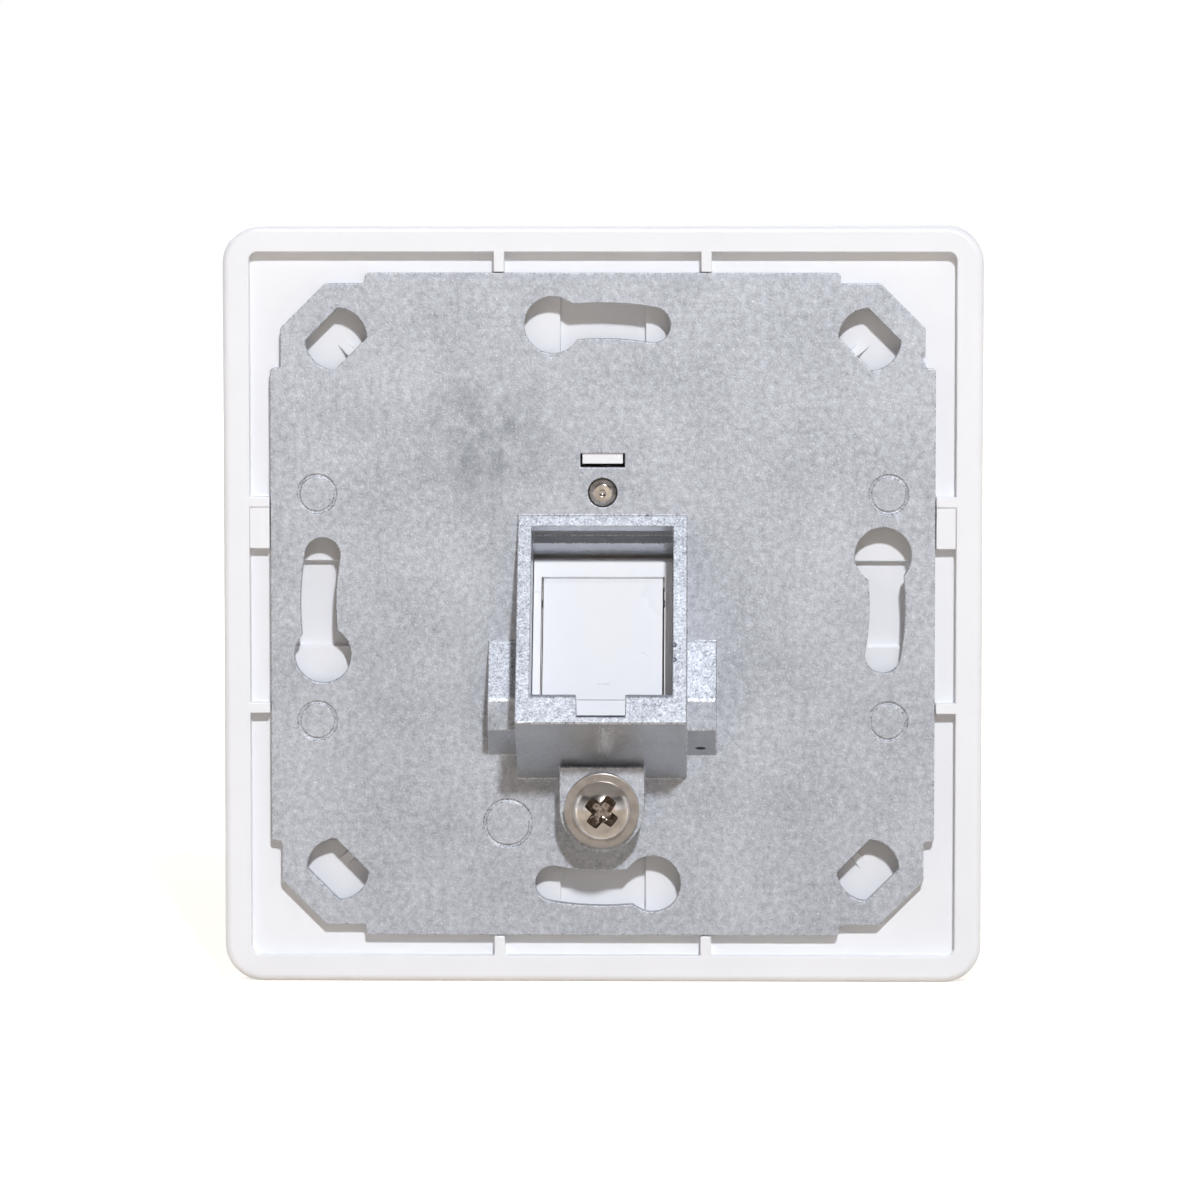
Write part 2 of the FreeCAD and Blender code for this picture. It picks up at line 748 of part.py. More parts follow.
def make_port_block(body):
    """Slanted block that fills the keystone box from the front, with the port through it."""
    skin = (centre_front + shell_inside) / 2
    sketch = new_sketch(body, "BlockSection", "YZ_Plane")
    draw_outline(sketch, [
        slanted(S.seat_depth + S.block_chamfer_depth, S.block_play),
        slanted(S.seat_depth, S.block_play + S.block_chamfer_drop),
        slanted(S.seat_depth, block_bottom),
        slanted(depth_at(skin, block_bottom), block_bottom),
        slanted(depth_at(skin, S.block_play), S.block_play)])
    pad(body, "PortBlock", sketch, block_half * 2, both_sides=True)
    past_front = centre_front - S.shell_skin
    wall_front = S.seat_depth + S.port_wall
    lip_front = S.seat_depth + S.stop_lip_thickness
    port = new_sketch(body, "PortSection", "YZ_Plane")
    draw_outline(port, [
        slanted(wall_front, S.port_top), slanted(wall_front, lintel_edge),
        slanted(S.seat_depth - S.port_wall, lintel_edge), slanted(S.seat_depth - S.port_wall, stop_edge),
        slanted(S.seat_depth, stop_edge), slanted(lip_front, stop_edge + S.stop_lip_draft),
        slanted(lip_front, port_bottom),
        slanted(depth_at(past_front, port_bottom), port_bottom),
        slanted(depth_at(past_front, S.port_top), S.port_top)])
    pocket(body, "Port", port, S.port_width, both_sides=True)


def cut_bearings(body):
    """Bores for the flap's trunnions and the shallow recess of each bearing's mould core."""
    bores = new_sketch(body, "BearingSection", "YZ_Plane")
    draw_circle(bores, *slanted(hinge_depth, S.hinge_drop), pin_radius + S.pin_play)
    pocket(body, "Bearings", bores, block_half * 2, both_sides=True)
    outer = block_half - S.bearing_recess_inset
    half = S.bearing_recess_height / 2
    recess = new_sketch(body, "BearingRecessSection", "YZ_Plane", outer - S.bearing_recess_width)
    draw_outline(recess, slanted_quad(
        S.seat_depth - S.bearing_recess_sink, S.seat_depth + S.bearing_recess_sink,
        S.bearing_recess_drop - half, S.bearing_recess_drop + half))
    cut = pocket(body, "BearingRecess", recess, S.bearing_recess_width)
    mirror_across(body, "OtherBearingRecess", [cut], "YZ_Plane")


def make_screw_boss(body):
    """Boss of the centre screw and the tab that locates the shell in the plate."""
    boss = new_sketch(body, "BossOutline", "XZ_Plane", S.plate_thickness)
    draw_circle(boss, ZERO, S.screw_height, S.boss_bore / 2)
    pad(body, "ScrewBoss", boss, S.centre_depth - S.plate_thickness - S.shell_skin / 2)
    tab = new_sketch(body, "TabOutline", "XZ_Plane", S.tab_short)
    half = S.tab_width / 2
    draw_box(tab, -half, half, tab_bottom, S.tab_slot_top)
    pad(body, "LocatingTab", tab, S.centre_depth - S.tab_short - S.shell_skin / 2)
    hole = new_sketch(body, "ScrewHoleSection", "YZ_Plane", rise=S.screw_height)
    play = S.screw_play
    shank = S.screw_thread / 2 + play
    head = S.screw_head_bore / 2 + play
    rim = centre_front + S.screw_head_rim
    draw_outline(hole, [
        (plate_front + play, ZERO), (plate_front + play, shank),
        (rim + S.screw_head_cone, shank), (rim, head),
        (centre_front - play, head), (centre_front - play, ZERO)])
    before = body.Shape.Volume
    turn_about_axis(body, "Groove", "ScrewHole", hole)
    if body.Shape.Volume >= before:
        raise ValueError("ScrewHole cut nothing")


def make_centre_plate():
    body = new_body("centre_plate")
    make_centre_shell(body)
    make_port_block(body)
    cut_bearings(body)
    make_screw_boss(body)
    return body


# Dust flap: plate with side ribs, trunnions and a finger lip

def make_flap_plate(body, width):
    """Flat plate whose top edge is rounded off and whose bottom edge is rebated."""
    near = S.seat_depth
    rebate = S.seat_depth + S.stop_lip_thickness + S.flap_end_play
    step = stop_edge - S.flap_end_play
    rise = S.flap_round_drop - flap_top
    radius = (rise * rise + S.flap_round_sink * S.flap_round_sink) / (S.flap_round_sink * 2)
    sketch = new_sketch(body, "FlapSection", "YZ_Plane")
    draw_outline(sketch, [
        slanted(near, S.flap_round_drop) + (radius,) + slanted(near + radius, S.flap_round_drop),
        slanted(near + S.flap_round_sink, flap_top), slanted(flap_front, flap_top),
        slanted(flap_front, flap_bottom), slanted(rebate, flap_bottom),
        slanted(rebate, step), slanted(near, step)])
    pad(body, "Flap", sketch, width, both_sides=True)


def make_flap_side(body, inside):
    """One side of the flap: a rib with a thin sealing edge, a cheek and a trunnion."""
    pivot = slanted(hinge_depth, S.hinge_drop)
    rib_end = S.seat_depth + S.flap_rib_depth
    rib = new_sketch(body, "SideRibSection", "YZ_Plane", inside)
    draw_outline(rib, slanted_quad(flap_front - S.flap_end_play, rib_end, flap_top, stop_edge))
    rib_pad = pad(body, "SideRib", rib, S.cheek_width)
    seal = new_sketch(body, "SealSection", "YZ_Plane", inside)
    draw_outline(seal, slanted_quad(rib_end - S.flap_seal_thickness, rib_end, flap_top, stop_edge))
    seal_pad = pad(body, "Seal", seal, S.cheek_width + S.flap_play - S.flap_seal_play)
    cheek = new_sketch(body, "CheekSection", "YZ_Plane", inside)
    draw_circle(cheek, *pivot, S.cheek_bore / 2)
    cheek_pad = pad(body, "Cheek", cheek, S.cheek_width)
    trunnion = new_sketch(body, "TrunnionSection", "YZ_Plane", inside)
    draw_circle(trunnion, *pivot, pin_radius)
    trunnion_pad = pad(body, "Trunnion", trunnion, S.cheek_width + S.pin_reach)
    return [rib_pad, seal_pad, cheek_pad, trunnion_pad]


def make_dust_flap():
    body = new_body("dust_flap")
    width = S.port_width - S.flap_play * 2
    make_flap_plate(body, width)
    side = make_flap_side(body, width / 2 - S.cheek_width)
    mirror_across(body, "OtherSide", side, "YZ_Plane")
    lip_end = flap_bottom - S.finger_lip_inset
    lip = new_sketch(body, "LipSection", "YZ_Plane")
    draw_outline(lip, slanted_quad(flap_front - S.flap_end_play, flap_front + S.finger_lip_reach,
                                   lip_end - S.finger_lip_height, lip_end))
    pad(body, "FingerLip", lip, S.finger_lip_width, both_sides=True)
    return body


# Screws and washer

def draw_cross(sketch, height, reach, width, turn):
    """Draw the four-armed outline of a driver recess, turned about its middle."""
    long = reach / 2
    side = width / 2
    arm = [(side, side), (side, long), (-side, long)]
    corners = []
    for _ in range(4):
        corners.extend(arm)
        arm = [(-y, x) for x, y in arm]
    across = cosine(turn)
    up = sine(turn)
    draw_outline(sketch, [(x * across - y * up, x * up + y * across + height) for x, y in corners])


def make_earth_screw():
    """Screw with a domed head; its thread is shown as a plain shank of the outer diameter."""
    body = new_body("earth_screw")
    section = new_sketch(body, "ScrewSection", "YZ_Plane", rise=earth_height)
    shank = S.earth_thread / 2
    head = S.earth_head_bore / 2
    rim = washer_top + S.earth_head_rim
    tip = washer_top - S.earth_length
    top = washer_top + S.earth_head_rise
    dome = top - rim
    dome_radius = (head * head + dome * dome) / (dome * 2)
    bevel = S.thread_clearance * 4
    draw_outline(section, [
        (tip, ZERO), (top, ZERO, dome_radius, top - dome_radius, ZERO), (rim, head),
        (washer_top, head), (washer_top, shank), (tip + bevel, shank), (tip, shank - bevel)])
    turn_about_axis(body, "Revolution", "Screw", section)
    cross = new_sketch(body, "CrossOutline", "XZ_Plane", -top)
    draw_cross(cross, earth_height, S.earth_cross, S.earth_cross_width, S.earth_cross_angle)
    pocket(body, "Cross", cross, S.earth_cross_sink)
    return body


def make_earth_washer():
    body = new_body("earth_washer")
    ring = new_sketch(body, "RingOutline", "XZ_Plane", -washer_top)
    draw_circle(ring, ZERO, earth_height, S.washer_bore / 2)
    draw_circle(ring, ZERO, earth_height, S.earth_thread / 2 + S.washer_hole_play)
    pad(body, "Ring", ring, S.washer_thickness)
    return body


def make_centre_screw():
    """Countersunk screw that clamps the frame between the centre plate and the casting."""
    body = new_body("centre_screw")
    section = new_sketch(body, "ScrewSection", "YZ_Plane", rise=S.screw_height)
    shank = S.screw_thread / 2
    head = S.screw_head_bore / 2
    dimple = S.screw_dimple / 2
    rim = centre_front + S.screw_head_rim
    draw_outline(section, [
        (centre_front, ZERO), (S.screw_stand - dimple, ZERO), (S.screw_stand, dimple),
        (S.screw_stand, S.screw_tip / 2), (S.screw_stand - S.screw_tip_length, shank),
        (rim + S.screw_head_cone, shank), (rim, head), (centre_front, head)])
    turn_about_axis(body, "Revolution", "Screw", section)
    cross = new_sketch(body, "CrossOutline", "XZ_Plane", S.centre_depth)
    draw_cross(cross, S.screw_height, S.screw_cross, S.screw_cross_width, S.slant_angle)
    pocket(body, "Cross", cross, S.screw_cross_sink, reverse=True)
    return body


# Build, check and write

BODIES = [
    make_mounting_plate(),
    make_cover_frame(),
    make_centre_plate(),
    make_dust_flap(),
    make_centre_screw(),
    make_earth_screw(),
    make_earth_washer(),
]

doc.recompute()
for item in doc.Objects:
    if "Invalid" in item.State or "Error" in item.State:
        raise ValueError(f"{item.Name} failed: {item.State}")
os.makedirs("parts", exist_ok=True)
for body in BODIES:
    shape = body.Shape
    if shape.isNull() or not shape.isValid() or len(shape.Solids) != 1:
        raise ValueError(f"{body.Label} isn't one valid solid")
    shape.exportStep(f"parts/{body.Label}.step")
    print(body.Label, round(shape.Volume, 1), "mm3", len(shape.Faces), "faces")
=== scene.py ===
"""Looks of a flush keystone faceplate, seen from the side that faces the wall box.

Each solid of the frame is carried over with broken edges, its small marks and a finish of
its own. Metres, +Z up; the faceplate's front looks along -Y and the camera stands on the
+Y side.
"""
import logging
import math
from collections.abc import Callable
from dataclasses import dataclass
from enum import Enum
from functools import partial

import bmesh
import bpy
from mathutils import Matrix, Vector


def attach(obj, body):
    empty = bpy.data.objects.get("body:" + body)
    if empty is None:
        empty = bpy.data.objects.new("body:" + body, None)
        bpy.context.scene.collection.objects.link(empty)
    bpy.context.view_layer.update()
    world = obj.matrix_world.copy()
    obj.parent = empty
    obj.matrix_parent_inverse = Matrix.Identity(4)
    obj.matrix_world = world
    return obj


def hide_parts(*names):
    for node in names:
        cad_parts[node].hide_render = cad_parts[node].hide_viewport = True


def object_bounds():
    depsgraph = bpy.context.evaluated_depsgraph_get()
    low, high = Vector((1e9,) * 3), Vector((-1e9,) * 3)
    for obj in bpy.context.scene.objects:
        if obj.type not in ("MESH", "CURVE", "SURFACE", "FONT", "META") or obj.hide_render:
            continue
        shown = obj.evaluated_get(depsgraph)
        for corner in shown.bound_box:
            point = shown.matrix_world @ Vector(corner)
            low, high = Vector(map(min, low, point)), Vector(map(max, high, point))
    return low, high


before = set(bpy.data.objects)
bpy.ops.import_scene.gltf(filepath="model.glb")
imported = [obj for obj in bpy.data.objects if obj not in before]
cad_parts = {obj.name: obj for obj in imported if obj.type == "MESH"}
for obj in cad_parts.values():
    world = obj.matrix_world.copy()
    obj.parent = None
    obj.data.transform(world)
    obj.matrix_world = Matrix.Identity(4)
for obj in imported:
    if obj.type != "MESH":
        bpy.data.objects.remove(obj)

LOG = logging.getLogger("keystone_faceplate")
MM = 0.001
PHOTO_WIDTH_PX = 1200
WHITE = (1.0, 1.0, 1.0, 1.0)
# Blender's names of the nodes that come up most. A Mix node of colours takes its share at
# input 0 and its colours at 6 and 7, and gives the mixed one at output 2. A Map Range takes
# a value, the range it comes from and the range it goes to, and clamps the result.
BUMP = "ShaderNodeBump"
LAYER = "ShaderNodeAttribute"
MATH = "ShaderNodeMath"
MIX = "ShaderNodeMix"
NOISE = "ShaderNodeTexNoise"
RANGE = "ShaderNodeMapRange"
# Edges below this angle are shaded smooth, and flats of a carved mesh within this one merge
SHARP_FROM = math.radians(50.0)
FLAT_WITHIN = math.radians(0.15)
# Steps shorter than these vanish from a carved mesh and from a spun one
SLIVER = 0.0005 * MM
WELD = 0.002 * MM
ON_PLANE = 0.0001 * MM
NORMAL_WEIGHT = 80
DISC_STEPS = 40
CAD_BOX = [list(corner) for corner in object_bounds()]


class Tumbling(Enum):
    """How much the tumbling stones reached a face of the casting."""

    OPEN = 0.0
    SHELTERED = 1.0


# Shared tools


def mm(x: float, y: float, z: float) -> Vector:
    """A point given in millimetres."""
    return Vector((x * MM, y * MM, z * MM))


def linear(code: str) -> tuple[float, float, float, float]:
    """Turn an sRGB hex colour into the linear one that a shader takes.

    Args:
        code: six hex digits after a hash sign.

    Returns:
        Red, green, blue and an alpha of 1.
    """
    values = [int(code[place:place + 2], 16) / 255 for place in (1, 3, 5)]
    bent = [value / 12.92 if value <= 0.04045 else ((value + 0.055) / 1.055) ** 2.4
            for value in values]
    return (bent[0], bent[1], bent[2], 1.0)


def per_mm(size: float) -> float:
    """Scale of a pattern on Object coordinates whose features are this many mm wide."""
    return 1.0 / (size * MM)


def add_node(tree: bpy.types.NodeTree, kind: str, sockets: dict | tuple = (),
             **settings: object) -> bpy.types.Node:
    """Add one node to a tree.

    Args:
        tree: node tree of a material or the world.
        kind: Blender's name of the node type.
        sockets: its inputs by name or number, or a tuple of them in their order. Each one
            is a number, a colour, the output that feeds it, or a node whose first output
            feeds it.
        settings: properties of the node itself.

    Returns:
        The new node.
    """
    node = tree.nodes.new(kind)
    for name, value in settings.items():
        setattr(node, name, value)
    for key, value in sockets.items() if isinstance(sockets, dict) else enumerate(sockets):
        if isinstance(value, bpy.types.Node):
            value = value.outputs[0]
        if isinstance(value, bpy.types.NodeSocket):
            tree.links.new(value, node.inputs[key])
        else:
            node.inputs[key].default_value = value
    return node


# Finishes


@dataclass(frozen=True)
class Finish:
    """A surface finish: its name says the real material."""

    name: str
    slot: str

    def material(self) -> bpy.types.Material:
        """Make the material, or give the one that is there already.

        Returns:
            The material.
        """
        made = bpy.data.materials.get(self.name)
        if made is not None:
            return made
        made = bpy.data.materials.new(self.name)
        made.use_nodes = True
        tree = made.node_tree
        tree.nodes.clear()
        place = add_node(tree, "ShaderNodeTexCoord").outputs["Object"]
        shader = add_node(tree, "ShaderNodeBsdfPrincipled", self.dress(tree, place))
        add_node(tree, "ShaderNodeOutputMaterial", (shader,))
        return made

    def dress(self, tree: bpy.types.NodeTree, place: bpy.types.NodeSocket) -> dict:
        """Work the finish out.

        Args:
            tree: node tree of the material.
            place: Object coordinates.

        Returns:
            Inputs of the Principled shader.
        """
        raise NotImplementedError


@dataclass(frozen=True)
class TumbledZinc(Finish):
    """Zinc alloy, die-cast and tumbled.

    Tumbling leaves a dull grey oxide skin over the metal with a fine grain that carries
    painted glints, cloudy flow marks from the melt, and edges that the rubbing leaves brighter
    than the flats, partly wear and partly painted highlight. The stones don't reach the walls
    of the box, which keep the smooth skin of the die. The raked faces took the hardest knocks,
    so their grain is coarser, with dark pits between bright flecks. The blisters of the
    casting get painted shade.
    """

    # Colours of the oxide skin, of what shows through or lies on it, and of the painted glints,
    # highlights and pit shade
    skin: str = "#bdc1c8"
    dark: str = "#9397a0"
    bright: str = "#e0e4eb"
    stain: str = "#8b8f98"
    # Painted glints, and worn edges that are partly painted highlight
    glint_and_rub_highlight: str = "#f6f7f9"
    # Dark knock specks, and painted shade in the casting's pits
    speck_and_pit_shade: str = "#5f6270"
    # Widths of the patterns in millimetres; the grain is drawn coarser than the real one,
    # which is too fine to show
    grain: float = 0.22
    mottle: float = 0.75
    smear: float = 2.6
    cloud: float = 9.0
    # How much each pattern swings the skin between dark and bright
    flat_grain: float = 0.3
    raked_grain: float = 0.8
    sheltered_share: float = 0.2
    cloud_share: float = 0.35
    contrast: float = 0.24
    evenness: float = 0.2
    # The smudge that the photograph shows above the box
    smudge: tuple[float, float, float] = (12.0, 0.0, 18.0)
    smudge_radius: float = 10.0
    smudge_fade: float = 8.0
    smudge_share: float = 0.75
    # Shares of the edge wear with its painted highlight, the knocks, and the painted shade in the
    # pits
    rub_highlight_share: tuple[float, float] = (0.1, 1.0)
    raked_knocks: float = 0.6
    edge_knocks: float = 0.3
    knock_share: float = 0.75
    pit_shade_share: float = 0.8
    # Part of a pattern over which each effect sets in
    smear_between: tuple[float, float] = (0.38, 0.62)
    glint_between: tuple[float, float] = (0.6, 0.72)
    rub_highlight_between: tuple[float, float] = (0.36, 0.56)
    knock_between: tuple[float, float] = (0.36, 0.47)
    matt_between: tuple[float, float] = (0.3, 0.75)
    # Response to light: metal on an open face and on a sheltered one, roughness between the
    # grains and on them
    metallic: tuple[float, float] = (0.52, 0.78)
    roughness: tuple[float, float] = (0.62, 0.42)
    sheltered_gloss: float = 0.2
    bump: float = 0.6
    bump_depth: float = 0.06

    def dress(self, tree: bpy.types.NodeTree, place: bpy.types.NodeSocket) -> dict:
        """Grain, mottling and clouds in the colour, grain in roughness and bump.

        Args:
            tree: node tree of the material.
            place: Object coordinates.

        Returns:
            Inputs of the Principled shader.
        """
        add = partial(add_node, tree)
        grain = add(NOISE, {
            "Vector": place, "Scale": per_mm(self.grain), "Detail": 3.0, "Roughness": 0.7})
        mottle = add(NOISE, {
            "Vector": place, "Scale": per_mm(self.mottle), "Detail": 5.0, "Roughness": 0.72})
        sheltered = add(LAYER, attribute_name="sheltered").outputs["Fac"]
        open_face = add(RANGE, (sheltered, 0.0, 1.0, 1.0, self.sheltered_share))
        skin = self.oxide(add, place, grain, mottle, open_face)
        matt = add(RANGE, (grain, *self.matt_between, *self.roughness))
        smooth = add(MATH, (sheltered, self.sheltered_gloss), operation="MULTIPLY")
        relief = add(MATH, (grain, mottle), operation="ADD")
        relief = add(MATH, (relief, open_face), operation="MULTIPLY")
        return {
            "Base Color": self.wear(add, skin, grain, mottle, open_face),
            "Metallic": add(RANGE, (sheltered, 0.0, 1.0, *self.metallic)),
            "Roughness": add(MATH, (matt, smooth), operation="SUBTRACT"),
            "Normal": add(BUMP, {
                "Height": relief, "Strength": self.bump, "Distance": self.bump_depth * MM}),
        }

    def oxide(self, add: Callable[..., bpy.types.Node], place: bpy.types.NodeSocket,
              grain: bpy.types.Node, mottle: bpy.types.Node,
              open_face: bpy.types.Node) -> bpy.types.NodeSocket:
        """Colour of the oxide skin with its clouds and the smudge.

        Args:
            add: adds a node to the material's tree.
            place: Object coordinates.
            grain: fine pattern.
            mottle: pattern between grain and clouds.
            open_face: 1 where the stones reached the face.

        Returns:
            The colour.
        """
        cloud = add(NOISE, {"Vector": place, "Scale": per_mm(self.cloud), "Detail": 3.0})
        smear = add(NOISE, {
            "Vector": place, "Scale": per_mm(self.smear), "Detail": 5.0, "Roughness": 0.65})
        raked = add(LAYER, attribute_name="raked").outputs["Fac"]
        coarse = add(RANGE, (raked, 0.0, 1.0, self.flat_grain, self.raked_grain))
        # How far each pattern is above or below its middle
        grained, mottled, clouded = (
            add(MATH, (pattern, 0.5), operation="SUBTRACT") for pattern in (grain, mottle, cloud))
        grained = add(MATH, (grained, coarse), operation="MULTIPLY")
        spread = add(MATH, (mottled, grained), operation="ADD")
        spread = add(MATH, (spread, open_face), operation="MULTIPLY")
        clouded = add(MATH, (clouded, self.cloud_share), operation="MULTIPLY")
        spread = add(MATH, (spread, clouded), operation="ADD")
        share = add(RANGE, (spread, -self.contrast, self.contrast))
        away = add("ShaderNodeVectorMath", (place, mm(*self.smudge)), operation="DISTANCE")
        inner = self.smudge_radius - self.smudge_fade
        smudge = add(RANGE, (away.outputs["Value"], inner * MM, self.smudge_radius * MM, 1.0, 0.0))
        smeared = add(RANGE, (smear, *self.smear_between, 0.0, self.smudge_share))
        smudge = add(MATH, (smudge, smeared), operation="MULTIPLY")
        colour = linear(self.dark)
        for part, tone in ((share, self.bright), (self.evenness, self.skin), (smudge, self.stain)):
            mixed = add(MIX, {0: part, 6: colour, 7: linear(tone)}, data_type="RGBA")
            colour = mixed.outputs[2]
        return colour

    def wear(self, add: Callable[..., bpy.types.Node], colour: bpy.types.NodeSocket,
             grain: bpy.types.Node, mottle: bpy.types.Node,
             open_face: bpy.types.Node) -> bpy.types.NodeSocket:
        """Painted glints on the grain, edge wear that is partly painted highlight, dark specks
        where stones have hit, and painted shade in the casting's pits.

        Args:
            add: adds a node to the material's tree.
            colour: colour of the skin.
            grain: fine pattern.
            mottle: pattern between grain and clouds.
            open_face: 1 where the stones reached the face.

        Returns:
            The colour with its wear.
        """
        edge, raked, speck_and_pit_shade = (
            add(LAYER, attribute_name=name).outputs["Fac"] for name in ("edge", "raked", "speck_and_pit_shade"))
        # Painted glints where the grain is high on open faces
        glint = add(RANGE, (grain, *self.glint_between))
        glint = add(MATH, (glint, open_face), operation="MULTIPLY")
        # Edge wear, partly painted highlight, full on the crests
        rub_and_highlight = add(RANGE, (mottle, *self.rub_highlight_between, *self.rub_highlight_share))
        rub_and_highlight = add(MATH, (edge, rub_and_highlight), operation="MULTIPLY")
        knocked = add(MATH, (raked, self.raked_knocks), operation="MULTIPLY")
        worn = add(RANGE, (edge, 0.0, self.edge_knocks))
        knocked = add(MATH, (knocked, worn), operation="MAXIMUM")
        speck = add(RANGE, (grain, *self.knock_between, self.knock_share, 0.0))
        speck = add(MATH, (knocked, speck), operation="MULTIPLY")
        # Painted shade on the faces of the casting's pits
        pit_shade = add(MATH, (speck_and_pit_shade, self.pit_shade_share), operation="MULTIPLY")
        dark = add(MATH, (speck, pit_shade), operation="MAXIMUM")
        for part, tone in ((glint, self.glint_and_rub_highlight), (rub_and_highlight, self.glint_and_rub_highlight), (dark, self.speck_and_pit_shade)):
            mixed = add(MIX, {0: part, 6: colour, 7: linear(tone)}, data_type="RGBA")
            colour = mixed.outputs[2]
        return colour


@dataclass(frozen=True)
class MouldedPlastic(Finish):
    """White ABS, injection moulded.

    A clean gloss on a faintly wavy skin: the mould's polish shows as soft highlights, and
    handling leaves the gloss a little uneven.
    """

    colour: str = "#f2f3f6"
    shade: str = "#eff0f3"
    gloss: float = 0.3
    handling: float = 0.08
    wave: float = 3.0
    haze: float = 9.0
    haze_between: tuple[float, float] = (0.35, 0.7)
    gloss_between: tuple[float, float] = (0.3, 0.7)
    ior: float = 1.53
    glow: float = 0.08
    glow_depth: float = 0.4
    bump: float = 0.08
    bump_depth: float = 0.03

    def dress(self, tree: bpy.types.NodeTree, place: bpy.types.NodeSocket) -> dict:
        """Even colour with a slight haze, uneven gloss and a shallow wave.

        Args:
            tree: node tree of the material.
            place: Object coordinates.

        Returns:
            Inputs of the Principled shader.
        """
        add = partial(add_node, tree)
        haze = add(NOISE, {"Vector": place, "Scale": per_mm(self.haze), "Detail": 3.0})
        wave = add(NOISE, {"Vector": place, "Scale": per_mm(self.wave), "Detail": 1.0})
        share = add(RANGE, (haze, *self.haze_between))
        colour = add(MIX, {0: share, 6: linear(self.colour), 7: linear(self.shade)},
                     data_type="RGBA")
        gloss = (self.gloss, self.gloss + self.handling)
        return {
            "Base Color": colour.outputs[2],
            "Roughness": add(RANGE, (haze, *self.gloss_between, *gloss)),
            "IOR": self.ior,
            "Subsurface Weight": self.glow,
            "Subsurface Radius": (1.0, 1.0, 1.0),
            "Subsurface Scale": self.glow_depth * MM,
            "Normal": add(BUMP, {
                "Height": wave, "Strength": self.bump, "Distance": self.bump_depth * MM}),
        }


@dataclass(frozen=True)
class NickelPlate(Finish):
    """Steel, turned or stamped and nickel plated.

    A warm, bright metal with a soft mirror: the tumbling before plating leaves tiny dents
    that break its reflections up, and the driver recess is painted a patchy brown shade.
    """

    colour: str = "#cbc6c2"
    dull: str = "#b3aca7"
    # Brown painted shade for the walls and floor of the driver recess
    recess_shade: str = "#5c4a3e"
    gloss: float = 0.14
    dulling: float = 0.1
    dent: float = 0.35
    dulled: float = 1.3
    dull_between: tuple[float, float] = (0.4, 0.7)
    gloss_between: tuple[float, float] = (0.35, 0.7)
    recess_shade_between: tuple[float, float] = (0.35, 0.6)
    recess_shade_share: tuple[float, float] = (0.85, 0.35)
    bump: float = 0.15
    bump_depth: float = 0.01

    def dress(self, tree: bpy.types.NodeTree, place: bpy.types.NodeSocket) -> dict:
        """Warm metal with small dents, dull patches and painted shade in its recess.

        Args:
            tree: node tree of the material.
            place: Object coordinates.

        Returns:
            Inputs of the Principled shader.
        """
        add = partial(add_node, tree)
        dent = add(NOISE, {"Vector": place, "Scale": per_mm(self.dent), "Detail": 2.0})
        cloud = add(NOISE, {"Vector": place, "Scale": per_mm(self.dulled), "Detail": 3.0})
        recess = add(LAYER, attribute_name="recess").outputs["Fac"]
        patchy = add(RANGE, (cloud, *self.dull_between))
        # Painted shade in the driver recess, patchy with the dents
        recess_shaded = add(RANGE, (dent, *self.recess_shade_between, *self.recess_shade_share))
        recess_shaded = add(MATH, (recess, recess_shaded), operation="MULTIPLY")
        colour = linear(self.colour)
        for part, tone in ((patchy, self.dull), (recess_shaded, self.recess_shade)):
            mixed = add(MIX, {0: part, 6: colour, 7: linear(tone)}, data_type="RGBA")
            colour = mixed.outputs[2]
        gloss = (self.gloss, self.gloss + self.dulling)
        return {
            "Base Color": colour,
            "Metallic": 1.0,
            "Roughness": add(RANGE, (cloud, *self.gloss_between, *gloss)),
            "Normal": add(BUMP, {
                "Height": dent, "Strength": self.bump, "Distance": self.bump_depth * MM}),
        }


ZINC = TumbledZinc("zinc_die_cast_tumbled", "cast_zinc")
FRAME_ABS = MouldedPlastic("abs_white_moulded_frame", "frame_plastic")
CENTRE_ABS = MouldedPlastic("abs_white_moulded_centre", "centre_plastic")
FLAP_ABS = MouldedPlastic("abs_white_moulded_flap", "flap_plastic", gloss=0.24)
SCREW_NICKEL = NickelPlate("steel_nickel_plated_screw", "nickel_screw",
                           colour="#e4ddd6", dull="#c9c0b8")
WASHER_NICKEL = NickelPlate("steel_nickel_plated_washer", "nickel_washer", gloss=0.3)


# Shaping tools


def finished(mesh: bmesh.types.BMesh, name: str, finish: Finish, body: str) -> bpy.types.Object:
    """Turn a bmesh into a dressed object that rides on a body.

    Args:
        mesh: geometry in metres, in place; it is freed.
        name: piece's name.
        finish: surface finish.
        body: body that the piece moves with.

    Returns:
        The object.
    """
    data = bpy.data.meshes.new(name)
    for face in mesh.faces:
        face.smooth = True
    for edge in mesh.edges:
        edge.smooth = len(edge.link_faces) == 2 and edge.calc_face_angle(0.0) < SHARP_FROM
    mesh.to_mesh(data)
    mesh.free()
    data.materials.clear()
    data.materials.append(finish.material())
    piece = bpy.data.objects.new(name, data)
    bpy.context.scene.collection.objects.link(piece)
    weighted = piece.modifiers.new("even_normals", "WEIGHTED_NORMAL")
    weighted.keep_sharp = True
    weighted.weight = NORMAL_WEIGHT
    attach(piece, body)
    LOG.info("%s rides on %s: %d faces", name, body, len(data.polygons))
    return piece


